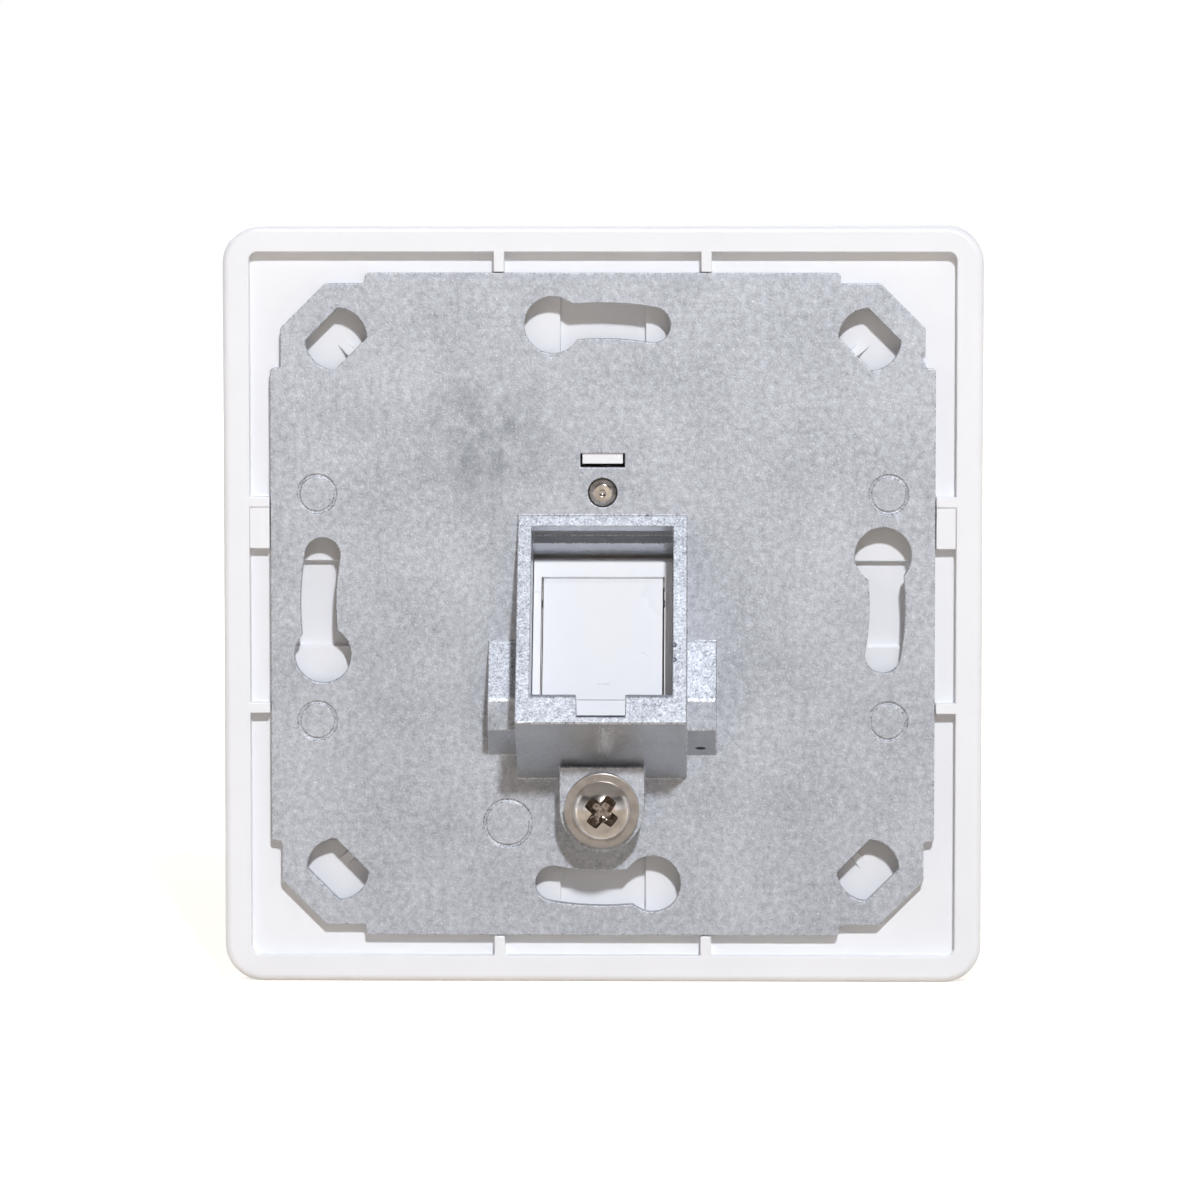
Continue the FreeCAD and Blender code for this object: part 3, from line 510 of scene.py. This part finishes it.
def carve(mesh: bmesh.types.BMesh, cutters: list[bmesh.types.BMesh]) -> bmesh.types.BMesh:
    """Cut closed shapes out of a closed mesh.

    Args:
        mesh: mesh to cut; it is freed.
        cutters: shapes to take away; they are freed.

    Returns:
        The cut mesh.
    """
    blocks = []
    for shape in [mesh] + cutters:
        data = bpy.data.meshes.new("block")
        shape.to_mesh(data)
        shape.free()
        block = bpy.data.objects.new("block", data)
        bpy.context.scene.collection.objects.link(block)
        blocks.append(block)
    for cutter in blocks[1:]:
        cut = blocks[0].modifiers.new("cut", "BOOLEAN")
        cut.operation = "DIFFERENCE"
        cut.solver = "EXACT"
        cut.object = cutter
    carved = bmesh.new()
    carved.from_object(blocks[0], bpy.context.evaluated_depsgraph_get())
    bmesh.ops.dissolve_degenerate(carved, dist=SLIVER, edges=carved.edges)
    bmesh.ops.dissolve_limit(carved, angle_limit=FLAT_WITHIN, verts=carved.verts,
                             edges=carved.edges)
    for block in blocks:
        data = block.data
        bpy.data.objects.remove(block)
        bpy.data.meshes.remove(data)
    return carved


def set_down(middle: Vector, sizes: tuple[float, float, float], tilt: float) -> Matrix:
    """Matrix that sizes a cutter in millimetres, turns it about X and puts it in its place.

    Args:
        middle: centre in metres.
        sizes: its sizes in millimetres, along X, Y and Z before the tilt.
        tilt: turn about X in degrees.

    Returns:
        The matrix.
    """
    turn = Matrix.Rotation(math.radians(tilt), 4, "X")
    size = Matrix.Diagonal((sizes[0] * MM, sizes[1] * MM, sizes[2] * MM, 1.0))
    return Matrix.Translation(middle) @ turn @ size


def pebble(middle: Vector, radii: tuple[float, float, float],
           tilt: float = 0.0) -> bmesh.types.BMesh:
    """Rounded cutter.

    Args:
        middle: centre in metres.
        radii: its three radii in millimetres, along X, Y and Z before the tilt.
        tilt: turn about X in degrees.

    Returns:
        A closed ellipsoid.
    """
    shape = bmesh.new()
    bmesh.ops.create_icosphere(shape, subdivisions=3, radius=1.0,
                               matrix=set_down(middle, radii, tilt))
    return shape


def bar(middle: Vector, sizes: tuple[float, float, float], tilt: float = 0.0) -> bmesh.types.BMesh:
    """Square cutter.

    Args:
        middle: centre in metres.
        sizes: its three sides in millimetres, along X, Y and Z before the tilt.
        tilt: turn about X in degrees.

    Returns:
        A closed block.
    """
    shape = bmesh.new()
    bmesh.ops.create_cube(shape, size=1.0, matrix=set_down(middle, sizes, tilt))
    return shape


def disc(middle: Vector, radius: float, height: float, tilt: float) -> bmesh.types.BMesh:
    """Round flat cutter whose axis lies along Y before the tilt.

    Args:
        middle: centre in metres.
        radius: radius in millimetres.
        height: thickness in millimetres.
        tilt: turn about X in degrees.

    Returns:
        A closed disc.
    """
    shape = bmesh.new()
    place = Matrix.Translation(middle) @ Matrix.Rotation(math.radians(tilt + 90.0), 4, "X")
    bmesh.ops.create_cone(shape, cap_ends=True, segments=DISC_STEPS, radius1=radius * MM,
                          radius2=radius * MM, depth=height * MM, matrix=place)
    return shape


# Sub-assemblies


@dataclass(frozen=True)
class Slant:
    """Frame of the slanted keystone box, in millimetres and degrees.

    The slacks and sinks say how far past the jack opening its walls are still looked for.
    """

    angle: float = 30.0
    rim_top: float = 9.5
    rim_step: float = 0.15
    rim_wall: float = 1.2
    jack_width: float = 14.9
    jack_height: float = 19.3
    sill_wall: float = 3.5
    seat_depth: float = 7.0
    wall_slack: float = 0.05
    rim_slack: float = 0.15
    groove_sink: float = 1.1
    sill_sink: float = 3.2

    def point(self, x: float, depth: float, drop: float) -> Vector:
        """A point of the slanted box.

        Args:
            x: its place across the box.
            depth: how far it lies in front of the rim.
            drop: how far it lies below the top of the jack opening, along the rim.

        Returns:
            The point in metres.
        """
        turn = math.radians(self.angle)
        along = drop + self.rim_wall
        return mm(x, self.rim_step + along * math.sin(turn) - depth * math.cos(turn),
                  self.rim_top - along * math.cos(turn) - depth * math.sin(turn))

    def within(self, spot: Vector) -> bool:
        """Tell whether a spot is on a wall of the jack opening or in its latch groove.

        Args:
            spot: point in metres.

        Returns:
            True inside, away from the rim itself.
        """
        turn = math.radians(self.angle)
        behind = self.rim_step - spot.y / MM
        below = self.rim_top - spot.z / MM
        depth = behind * math.cos(turn) + below * math.sin(turn)
        drop = below * math.cos(turn) - behind * math.sin(turn) - self.rim_wall
        inside = abs(spot.x / MM) < self.jack_width / 2 + self.wall_slack
        sunk = depth > self.rim_slack
        return inside and sunk and -self.groove_sink < drop < self.jack_height + self.sill_sink


SLANT = Slant()


@dataclass
class Part:
    """A solid of the frame carried over with broken edges.

    Sizes are in millimetres: edge is the width of the break along sharp edges, and the next
    field the share of wear with painted highlight there. On a fine part the break shrinks to
    what its smallest step leaves room for.
    """

    node: str
    piece: str
    body: str
    finish: Finish
    edge: float = 0.12
    steps: int = 2
    sharp_from: float = 32.0
    flat_within: float = 0.6
    weld: float = 0.0015
    # Share of edge wear with painted highlight on the broken edges
    rub_and_highlight: float = 0.3
    fine: bool = False

    def merged(self) -> bmesh.types.BMesh:
        """Copy the node's mesh, merge its loose triangles and join the flat ones.

        Returns:
            A closed mesh with one face for each flat of the solid, or a few.
        """
        mesh = bmesh.new()
        mesh.from_mesh(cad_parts[self.node].data)
        bmesh.ops.remove_doubles(mesh, verts=mesh.verts, dist=self.weld * MM)
        bmesh.ops.dissolve_limit(mesh, angle_limit=math.radians(self.flat_within),
                                 verts=mesh.verts, edges=mesh.edges)
        return mesh

    def bevel(self, mesh: bmesh.types.BMesh, edges: list[bmesh.types.BMEdge], width: float,
              steps: int, rub_and_highlight: float) -> None:
        """Bevel some edges and mark the new faces for wear with painted highlight.

        Args:
            mesh: mesh to work on.
            edges: its edges to bevel.
            width: width of the bevel in millimetres.
            steps: number of faces across it.
            rub_and_highlight: share of wear and painted highlight on the new faces.
        """
        layer = mesh.loops.layers.float.get("edge") or mesh.loops.layers.float.new("edge")
        made = bmesh.ops.bevel(mesh, geom=edges, offset=width * MM, offset_type="OFFSET",
                               segments=steps, profile=0.5, affect="EDGES", clamp_overlap=self.fine,
                               material=-1)
        for face in made["faces"]:
            for loop in face.loops:
                loop[layer] = rub_and_highlight

    def break_edges(self, mesh: bmesh.types.BMesh) -> None:
        """Break every sharp edge of the part.

        Args:
            mesh: mesh to work on.
        """
        turn = math.radians(self.sharp_from)
        sharp = [edge for edge in mesh.edges
                 if len(edge.link_faces) == 2 and edge.calc_face_angle(0.0) > turn]
        self.bevel(mesh, sharp, self.edge, self.steps, self.rub_and_highlight)

    def round_crests(self, mesh: bmesh.types.BMesh) -> None:
        """Round the part's own soft edges first; a plain part has none."""

    def cutters(self) -> list[bmesh.types.BMesh]:
        """Shapes of the small marks that are cut last; a plain part has none."""
        return []

    def paint(self, mesh: bmesh.types.BMesh) -> None:
        """Paint the part's own masks; a plain part has none."""

    def shape(self) -> bmesh.types.BMesh:
        """Copy the node, break its edges, then cut and paint the part's own marks.

        Returns:
            The finished mesh.
        """
        mesh = self.merged()
        self.round_crests(mesh)
        self.break_edges(mesh)
        marks = self.cutters()
        if marks:
            mesh = carve(mesh, marks)
        self.paint(mesh)
        return mesh

    def build(self) -> bpy.types.Object:
        """Make the piece, put it on its body and let it stand for the node.

        Returns:
            The finished object.
        """
        mesh = self.shape()
        piece = finished(mesh, self.piece, self.finish, self.body)
        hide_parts(self.node)
        return piece


def runs_along_x(edge: bmesh.types.BMEdge, place: Vector, slack: float = 0.06) -> bool:
    """True for an edge that runs along X through the Y and Z of a place."""
    return all(math.hypot(vert.co.y - place.y, vert.co.z - place.z) < slack * MM
               for vert in edge.verts)


@dataclass
class Casting(Part):
    """The zinc mounting plate with its box, lugs and boss.

    Crests are the long edges that catch the tumbling stones and the light: the lugs' ridges,
    given by their Y and Z, and the bottom edge of the box; they get full wear with painted
    highlight. Pits are blisters of the casting, made of faces under facet square millimetres,
    and get painted shade. A normal's Y or Z tells how far a face leans.
    """

    crest: float = 0.22
    crest_steps: int = 2
    crests: tuple[tuple[float, float], ...] = ((0.6, -3.74), (4.0, -9.629))
    facet: float = 0.03
    dent_place: tuple[float, float, float] = (-34.1, 0.1, 26.2)
    dent_radii: tuple[float, float, float] = (0.75, 0.3, 0.8)
    parting_width: float = 0.1
    parting_depth: float = 0.09
    parting_share: float = 0.88
    parting_inset: float = 0.2
    plate_facing: float = 0.95
    under_facing: float = -0.6
    raked_between: tuple[float, float] = (0.2, 0.9)
    raked_facing: float = 0.3

    def round_crests(self, mesh: bmesh.types.BMesh) -> None:
        """Round the ridges of the lugs and the bottom edge of the box, with full wear and painted
        highlight.

        Args:
            mesh: mesh to work on.
        """
        places = [mm(0, y, z) for y, z in self.crests]
        places.append(SLANT.point(0, 0, SLANT.jack_height + SLANT.sill_wall))
        crests = [edge for edge in mesh.edges if any(runs_along_x(edge, place) for place in places)]
        # Crest bevels get full wear with painted highlight
        self.bevel(mesh, crests, self.crest, self.crest_steps, 1.0)

    def cutters(self) -> list[bmesh.types.BMesh]:
        """Pits, parting lines and the dent in the plate's edge."""
        return self.pits() + self.parting_lines()

    def blisters(self) -> list[tuple[Vector, tuple[float, float, float], float]]:
        """Pits of the casting on the right lug and the rim, whose faces get painted shade.

        Returns:
            Middle in metres, radii in millimetres and tilt in degrees of each.
        """
        return [
            (mm(-10.34, 1.13, -14.98), (0.55, 0.62, 0.28), -53.0),
            (SLANT.point(-7.62, 0, 13.8), (0.27, 0.14, 0.3), 30.0),
            (SLANT.point(-7.6, 0, 15.5), (0.3, 0.14, 0.3), 30.0),
        ]

    def pits(self) -> list[bmesh.types.BMesh]:
        """The pits of the casting, and the dent in the plate's edge."""
        shapes = [pebble(*pit_shade) for pit_shade in self.blisters()]
        return shapes + [pebble(mm(*self.dent_place), self.dent_radii)]

    def parting_lines(self) -> list[bmesh.types.BMesh]:
        """Fine lines where the die's slide formed the sill between the side walls.

        Returns:
            One cutter for each line.
        """
        middle = SLANT.jack_height + SLANT.sill_wall / 2
        sizes = (self.parting_width, self.parting_depth * 2, SLANT.sill_wall * self.parting_share)
        half = SLANT.jack_width / 2 + self.parting_inset
        return [bar(SLANT.point(side * half, 0, middle), sizes, SLANT.angle) for side in (-1, 1)]

    def paint(self, mesh: bmesh.types.BMesh) -> None:
        """Paint the faces that the stones didn't reach, the raked faces, and the pits' faces that
        get painted shade.

        Args:
            mesh: mesh to work on.
        """
        sheltered = mesh.loops.layers.float.new("sheltered")
        raked = mesh.loops.layers.float.new("raked")
        speck_and_pit_shade = mesh.loops.layers.float.new("speck_and_pit_shade")
        mesh.normal_update()
        for face in mesh.faces:
            middle = face.calc_center_median()
            inside = SLANT.within(middle) and face.normal.y < self.plate_facing
            under = face.normal.z < self.under_facing and middle.y > 0
            state = Tumbling.SHELTERED if inside or under else Tumbling.OPEN
            low, high = self.raked_between
            tilted = low < face.normal.z < high and face.normal.y > self.raked_facing
            leaning = tilted and not inside
            # Small faces in a pit get painted shade
            small = face.calc_area() < self.facet * MM * MM
            holed = small and any((middle - place).length < max(radii) * MM
                                  for place, radii, _ in self.blisters())
            for loop in face.loops:
                loop[sheltered] = state.value
                loop[raked] = float(leaning)
                loop[speck_and_pit_shade] = float(holed)


@dataclass
class CoverFrame(Part):
    """The moulded cover frame, whose two front slopes flow into each other."""

    slope_edge: float = 1.6
    slope_steps: int = 3
    slope_from: float = 4.0
    slope_depth: float = 5.6
    slope_slack: float = 0.01

    def round_crests(self, mesh: bmesh.types.BMesh) -> None:
        """Soften the shallow edges between the slopes of the front.

        Args:
            mesh: mesh to work on.
        """
        low = math.radians(self.slope_from)
        high = math.radians(self.sharp_from)
        soft = [edge for edge in mesh.edges if len(edge.link_faces) == 2
                and low < edge.calc_face_angle(0.0) < high
                and all(abs(vert.co.y + self.slope_depth * MM) < self.slope_slack * MM
                        for vert in edge.verts)]
        self.bevel(mesh, soft, self.slope_edge, self.slope_steps, 0.0)


@dataclass
class DustFlap(Part):
    """The moulded dust flap, with the marks of an ejector pin and of the gate on its rear.

    The gate's mark is a dash with a short tick across each end. Places are given by X and
    by the drop along the box.
    """

    ejector: tuple[float, float] = (-4.15, 12.0)
    ejector_radius: float = 0.56
    gate_x: float = -0.1
    gate_drop: float = 15.1
    gate_length: float = 1.25
    gate_width: float = 0.09
    ticks_x: tuple[float, float] = (-0.72, 0.52)
    tick_width: float = 0.12
    tick_height: float = 0.32
    mark_depth: float = 0.09
    tick_share: float = 1.2

    def cutters(self) -> list[bmesh.types.BMesh]:
        """The ejector's mark and the gate's mark in the rear face.

        Returns:
            The cutters.
        """
        depth = SLANT.seat_depth
        sink = self.mark_depth * 2
        tilt = SLANT.angle
        x, drop = self.ejector
        dash = (self.gate_length, sink, self.gate_width)
        tick = (self.tick_width, sink * self.tick_share, self.tick_height)
        marks = [
            disc(SLANT.point(x, depth, drop), self.ejector_radius, sink, tilt),
            bar(SLANT.point(self.gate_x, depth, self.gate_drop), dash, tilt),
        ]
        return marks + [bar(SLANT.point(side, depth, self.gate_drop), tick, tilt)
                        for side in self.ticks_x]


@dataclass
class EarthScrew(Part):
    """The earth screw, turned and rolled like the real one.

    The head is a shallow dome with a tapered cross recess, and the shank carries a real
    thread. The node shows neither taper nor thread.
    """

    axis_height: float = -21.2
    head_seat: float = 4.7
    head_radius: float = 3.1
    head_rim: float = 0.35
    head_rise: float = 2.1
    head_steps: int = 72
    dome_steps: int = 16
    arm_reach: float = 2.3
    arm_foot: float = 1.0
    arm_width: float = 1.6
    arm_root: float = 0.85
    arm_depth: float = 1.55
    arm_angle: float = 38.0
    arm_round: float = 0.16
    arm_steps: int = 3
    arm_overshoot: float = 0.2
    # The recess's painted shade starts this far under the dome and above the seat
    recess_shade_depth: float = 0.05
    recess_shade_seat: float = 0.1
    tip: float = -0.3
    thread_radius: float = 1.75
    core_radius: float = 1.4
    pitch: float = 0.6
    turn_steps: int = 32
    thread_overlap: float = 0.15

    def dome(self) -> tuple[float, float]:
        """Work out the ball that the head's dome is cut from.

        Returns:
            Its radius, and how far along Y its middle lies, in millimetres.
        """
        rise = self.head_rise - self.head_rim
        radius = (self.head_radius ** 2 + rise ** 2) / (2 * rise)
        return radius, self.head_seat + self.head_rise - radius

    def merged(self) -> bmesh.types.BMesh:
        """Spin the head's outline round the screw's axis.

        Returns:
            A closed dome with a flat seat.
        """
        mesh = bmesh.new()
        radius, middle = self.dome()
        widest = math.asin(self.head_radius / radius)
        outline = []
        for step in range(self.dome_steps + 1):
            turn = widest * step / self.dome_steps
            outline.append((middle + radius * math.cos(turn), radius * math.sin(turn)))
        outline += [(self.head_seat, self.head_radius), (self.head_seat, 0.0)]
        dots = [mesh.verts.new(mm(0, reach, self.axis_height + rise)) for reach, rise in outline]
        for first, second in zip(dots, dots[1:]):
            mesh.edges.new((first, second))
        bmesh.ops.spin(mesh, geom=mesh.verts[:] + mesh.edges[:], cent=mm(0, 0, self.axis_height),
                       axis=(0.0, 1.0, 0.0), angle=math.radians(360.0), steps=self.head_steps,
                       use_merge=True)
        bmesh.ops.remove_doubles(mesh, verts=mesh.verts, dist=WELD)
        bmesh.ops.recalc_face_normals(mesh, faces=mesh.faces)
        return mesh

    def cutters(self) -> list[bmesh.types.BMesh]:
        """Two crossing tapered arms that form the driver recess."""
        return [self.arm(self.arm_angle), self.arm(self.arm_angle + 90.0)]

    def arm(self, angle: float) -> bmesh.types.BMesh:
        """One arm of the recess, wide at the mouth and narrow at the floor.

        Args:
            angle: its direction in degrees, from +X towards +Z.

        Returns:
            A closed wedge.
        """
        mesh = bmesh.new()
        mouth = self.head_seat + self.head_rise + self.arm_overshoot
        floor = self.head_seat + self.head_rise - self.arm_depth
        middle = mm(0, (mouth + floor) / 2, self.axis_height)
        size = Matrix.Diagonal((self.arm_reach * 2 * MM, (mouth - floor) * MM,
                                self.arm_width * MM, 1.0))
        bmesh.ops.create_cube(mesh, size=1.0, matrix=size)
        foot = [vert for vert in mesh.verts if vert.co.y < 0]
        taper = (self.arm_foot / self.arm_reach, 1.0, self.arm_root / self.arm_width)
        bmesh.ops.scale(mesh, vec=taper, verts=foot)
        bmesh.ops.bevel(mesh, geom=mesh.edges[:], offset=self.arm_round * MM,
                        offset_type="OFFSET", segments=self.arm_steps, profile=0.5,
                        affect="EDGES", material=-1)
        turn = Matrix.Rotation(math.radians(-angle), 4, "Y")
        bmesh.ops.transform(mesh, matrix=Matrix.Translation(middle) @ turn, verts=mesh.verts)
        return mesh

    def paint(self, mesh: bmesh.types.BMesh) -> None:
        """Mark the walls and the floor of the driver recess, which get painted shade.

        Args:
            mesh: mesh to work on.
        """
        layer = mesh.loops.layers.float.new("recess")
        radius, middle = self.dome()
        centre = mm(0, middle, self.axis_height)
        seat = (self.head_seat + self.recess_shade_seat) * MM
        for face in mesh.faces:
            spot = face.calc_center_median()
            near_axis = math.hypot(spot.x, spot.z - centre.z) < self.arm_reach * MM
            sunk = (spot - centre).length < (radius - self.recess_shade_depth) * MM
            for loop in face.loops:
                loop[layer] = float(near_axis and sunk and spot.y > seat)

    def shape(self) -> bmesh.types.BMesh:
        """Join the head and the threaded shank.

        Returns:
            The finished mesh.
        """
        mesh = super().shape()
        thread = self.thread()
        data = bpy.data.meshes.new("thread")
        thread.to_mesh(data)
        thread.free()
        mesh.from_mesh(data)
        bpy.data.meshes.remove(data)
        return mesh

    def thread(self) -> bmesh.types.BMesh:
        """Spin a zigzag profile along the screw's axis.

        Returns:
            A closed threaded shank from the tip to just inside the head.
        """
        mesh = bmesh.new()
        turns = math.ceil((self.head_seat - self.tip) / self.pitch) + 2
        low = self.tip - self.pitch * 1.5
        rungs = []
        for turn in range(turns * 2 + 1):
            radius = self.core_radius if turn % 2 else self.thread_radius
            height = self.axis_height + radius
            rungs.append(mesh.verts.new(mm(0, low + turn * self.pitch / 2, height)))
        for lower, upper in zip(rungs, rungs[1:]):
            mesh.edges.new((lower, upper))
        bmesh.ops.spin(mesh, geom=mesh.verts[:] + mesh.edges[:], cent=mm(0, 0, self.axis_height),
                       axis=(0.0, 1.0, 0.0), dvec=(0.0, self.pitch * MM / self.turn_steps, 0.0),
                       angle=math.radians(360.0), steps=self.turn_steps, use_merge=False)
        bmesh.ops.remove_doubles(mesh, verts=mesh.verts, dist=WELD)
        for place, normal in ((self.tip, 1.0), (self.head_seat + self.thread_overlap, -1.0)):
            bmesh.ops.bisect_plane(mesh, geom=mesh.verts[:] + mesh.edges[:] + mesh.faces[:],
                                   plane_co=mm(0, place, self.axis_height),
                                   plane_no=(0.0, normal, 0.0), clear_inner=True,
                                   dist=ON_PLANE)
        bmesh.ops.holes_fill(mesh, edges=[edge for edge in mesh.edges if edge.is_boundary])
        bmesh.ops.recalc_face_normals(mesh, faces=mesh.faces)
        return mesh


# Studio


@dataclass
class Studio:
    """Pale floor, soft lamps and the camera at the photograph's viewing angle.

    Distances are in metres and angles in degrees; px_per_mm and the middle are those of the
    photograph, in the plane of the casting's rear face.
    """

    sensor_mm: float = 36.0
    clip: tuple[float, float] = (0.02, 20.0)
    distance: float = 0.65
    azimuth: float = 1.15
    elevation: float = 4.5
    px_per_mm: float = 9.49
    middle_px: tuple[float, float] = (602.6, 605.5)
    key_from: tuple[float, float, float] = (-0.172, 1.0, 0.717)
    key_distance: float = 1.6
    key_size: float = 0.11
    key_power: float = 20.8
    key_tint: str = "#f6f9ff"
    front_from: tuple[float, float, float] = (0.35, -1.0, 0.7)
    front_distance: float = 1.5
    front_size: float = 0.9
    front_power: float = 13.0
    # Strength of the room: in the open, overhead, behind the camera, at its sides and in
    # front of the faceplate, and the part of a direction over which each one sets in
    fill: float = 1.7
    overhead: float = 0.1
    room_centre: float = 0.1
    room_side: float = 0.45
    room_front: float = 0.4
    overhead_between: tuple[float, float] = (0.05, 0.5)
    centre_between: tuple[float, float] = (0.6, 0.92)
    side_between: tuple[float, float] = (0.7, 0.95)
    front_between: tuple[float, float] = (-0.35, -0.05)
    room_tint: str = "#f6f9ff"
    centre_tint: str = "#ffcfa4"
    floor_size: float = 4.0
    floor_paint: str = "#dfd5c6"
    floor_lift: tuple[float, float] = (0.66, 1.0)
    floor_reach: tuple[float, float] = (0.08, 0.5)

    def camera(self) -> None:
        """Aim a long lens so that the casting's middle lands where the photograph has it."""
        half = PHOTO_WIDTH_PX / 2
        aim = mm((self.middle_px[0] - half) / self.px_per_mm, 0,
                 (self.middle_px[1] - half) / self.px_per_mm)
        turn = math.radians(self.azimuth)
        rise = math.radians(self.elevation)
        away = Vector((-math.sin(turn) * math.cos(rise), math.cos(turn) * math.cos(rise),
                       math.sin(rise)))
        data = bpy.data.cameras.new("camera")
        data.sensor_width = self.sensor_mm
        data.lens = data.sensor_width * self.distance / (PHOTO_WIDTH_PX / self.px_per_mm * MM)
        data.clip_start, data.clip_end = self.clip
        camera = bpy.data.objects.new("camera", data)
        camera.location = aim + away * self.distance
        camera.rotation_mode = "QUATERNION"
        camera.rotation_quaternion = (-away).to_track_quat("-Z", "Y")
        bpy.context.scene.collection.objects.link(camera)
        bpy.context.scene.camera = camera

    def lamp(self, name: str, towards: Vector, distance: float, size: float, power: float,
             tint: str = "#ffffff") -> None:
        """Hang one round area lamp that looks at the faceplate.

        Args:
            name: lamp's name.
            towards: direction from the faceplate to the lamp.
            distance: metres from the faceplate.
            size: diameter in metres.
            power: watts.
            tint: colour of its light.
        """
        data = bpy.data.lights.new(name, "AREA")
        data.color = linear(tint)[:3]
        data.shape = "DISK"
        data.size = size
        data.energy = power
        lamp = bpy.data.objects.new(name, data)
        lamp.location = towards.normalized() * distance
        lamp.rotation_mode = "QUATERNION"
        lamp.rotation_quaternion = (-towards).to_track_quat("-Z", "Y")
        bpy.context.scene.collection.objects.link(lamp)

    def lamps(self) -> None:
        """A small key above the camera, and a broad soft lamp for the faceplate's front."""
        self.lamp("key_lamp", Vector(self.key_from), self.key_distance, self.key_size,
                  self.key_power, self.key_tint)
        self.lamp("front_lamp", Vector(self.front_from), self.front_distance, self.front_size,
                  self.front_power)

    def world(self) -> None:
        """White backdrop, and a plain room behind the camera.

        The camera sees white all round, and gloss and glass see it on the side of the
        backdrop; every other ray meets the room, which is dim overhead, at its sides
        and in front of the faceplate, and warmer and darker straight behind the camera.
        """
        world = bpy.data.worlds.new("white_backdrop")
        bpy.context.scene.world = world
        world.use_nodes = True
        tree = world.node_tree
        tree.nodes.clear()
        add = partial(add_node, tree)
        way = add("ShaderNodeTexCoord").outputs["Generated"]
        x, y, z = add("ShaderNodeSeparateXYZ", (way,)).outputs
        side = add(MATH, (x,), operation="ABSOLUTE")
        centre = add(RANGE, (y, *self.centre_between))
        room = add(RANGE, (z, *self.overhead_between, self.fill, self.overhead))
        for dimmed in (
            (side, *self.side_between, 1.0, self.room_side),
            (y, *self.front_between, self.room_front, 1.0),
            (centre, 0.0, 1.0, 1.0, self.room_centre),
        ):
            room = add(MATH, (room, add(RANGE, dimmed)), operation="MULTIPLY")
        tint = add(MIX, {0: centre, 6: linear(self.room_tint), 7: linear(self.centre_tint)},
                   data_type="RGBA")
        dim = add("ShaderNodeBackground", (tint.outputs[2], room))
        white = add("ShaderNodeBackground", (WHITE, 1.0))
        both = add("ShaderNodeMixShader", (self.seen_white(tree, y), dim, white))
        add("ShaderNodeOutputWorld", (both,))

    def seen_white(self, tree: bpy.types.NodeTree, depth: bpy.types.NodeSocket) -> bpy.types.Node:
        """Tell the rays that find the surround white.

        Args:
            tree: node tree of the world or the floor.
            depth: Y, below 0 on the side of the backdrop.

        Returns:
            1 for the camera's rays, and for mirrored ones on the side of the backdrop.
        """
        add = partial(add_node, tree)
        path = add("ShaderNodeLightPath").outputs
        mirrored = add(MATH, (path["Is Glossy Ray"], path["Is Transmission Ray"]),
                       operation="MAXIMUM")
        behind = add(MATH, (depth, 0.0), operation="LESS_THAN")
        mirrored = add(MATH, (mirrored, behind), operation="MULTIPLY")
        return add(MATH, (path["Is Camera Ray"], mirrored), operation="MAXIMUM")

    def floor(self) -> None:
        """Pale floor under the frame's bottom edge; it shows white and keeps the shadow."""
        mesh = bmesh.new()
        bmesh.ops.create_grid(mesh, x_segments=1, y_segments=1, size=self.floor_size,
                              matrix=Matrix.Translation((0.0, 0.0, CAD_BOX[0][2])))
        data = bpy.data.meshes.new("floor")
        mesh.to_mesh(data)
        mesh.free()
        data.materials.append(self.floor_material())
        floor = bpy.data.objects.new("floor", data)
        bpy.context.scene.collection.objects.link(floor)

    def floor_material(self) -> bpy.types.Material:
        """Matt pale paint that camera and backdrop-side gloss see as white.

        Returns:
            The material.
        """
        made = bpy.data.materials.new("floor_matt_paint_white")
        made.use_nodes = True
        tree = made.node_tree
        tree.nodes.clear()
        add = partial(add_node, tree)
        place = add("ShaderNodeTexCoord").outputs["Object"]
        away = add("ShaderNodeVectorMath", (place,), operation="LENGTH").outputs["Value"]
        depth = add("ShaderNodeSeparateXYZ", (place,)).outputs["Y"]
        lift = add(RANGE, (away, *self.floor_reach, *self.floor_lift))
        lift = add(MATH, (self.seen_white(tree, depth), lift), operation="MULTIPLY")
        paint = add("ShaderNodeBsdfDiffuse", (linear(self.floor_paint),))
        glow = add("ShaderNodeEmission", (WHITE, lift))
        both = add("ShaderNodeAddShader", (paint, glow))
        add("ShaderNodeOutputMaterial", (both,))
        return made

    def build(self) -> None:
        """Set up camera, lamps, surround and floor."""
        self.camera()
        self.lamps()
        self.world()
        self.floor()
        bpy.context.scene.view_settings.view_transform = "Standard"


def main() -> None:
    """Build the studio and every sub-assembly in order."""
    logging.basicConfig(level=logging.INFO, format="%(name)s: %(message)s")
    Studio().build()
    parts = [
        Casting("mounting_plate", "zinc_casting", "outlet", ZINC),
        CoverFrame("cover_frame", "frame_moulding", "outlet", FRAME_ABS),
        Part("centre_plate", "centre_moulding", "outlet", CENTRE_ABS, edge=0.1, fine=True),
        DustFlap("dust_flap", "flap_moulding", "flap", FLAP_ABS, edge=0.06, fine=True),
        Part("centre_screw", "clamping_screw", "outlet", SCREW_NICKEL, edge=0.05),
        EarthScrew("earth_screw", "earth_clamp_screw", "clamp_screw", SCREW_NICKEL, edge=0.06),
        Part("earth_washer", "earth_clamp_washer", "washer", WASHER_NICKEL),
    ]
    for part in parts:
        part.build()


if __name__ == "__main__":
    main()
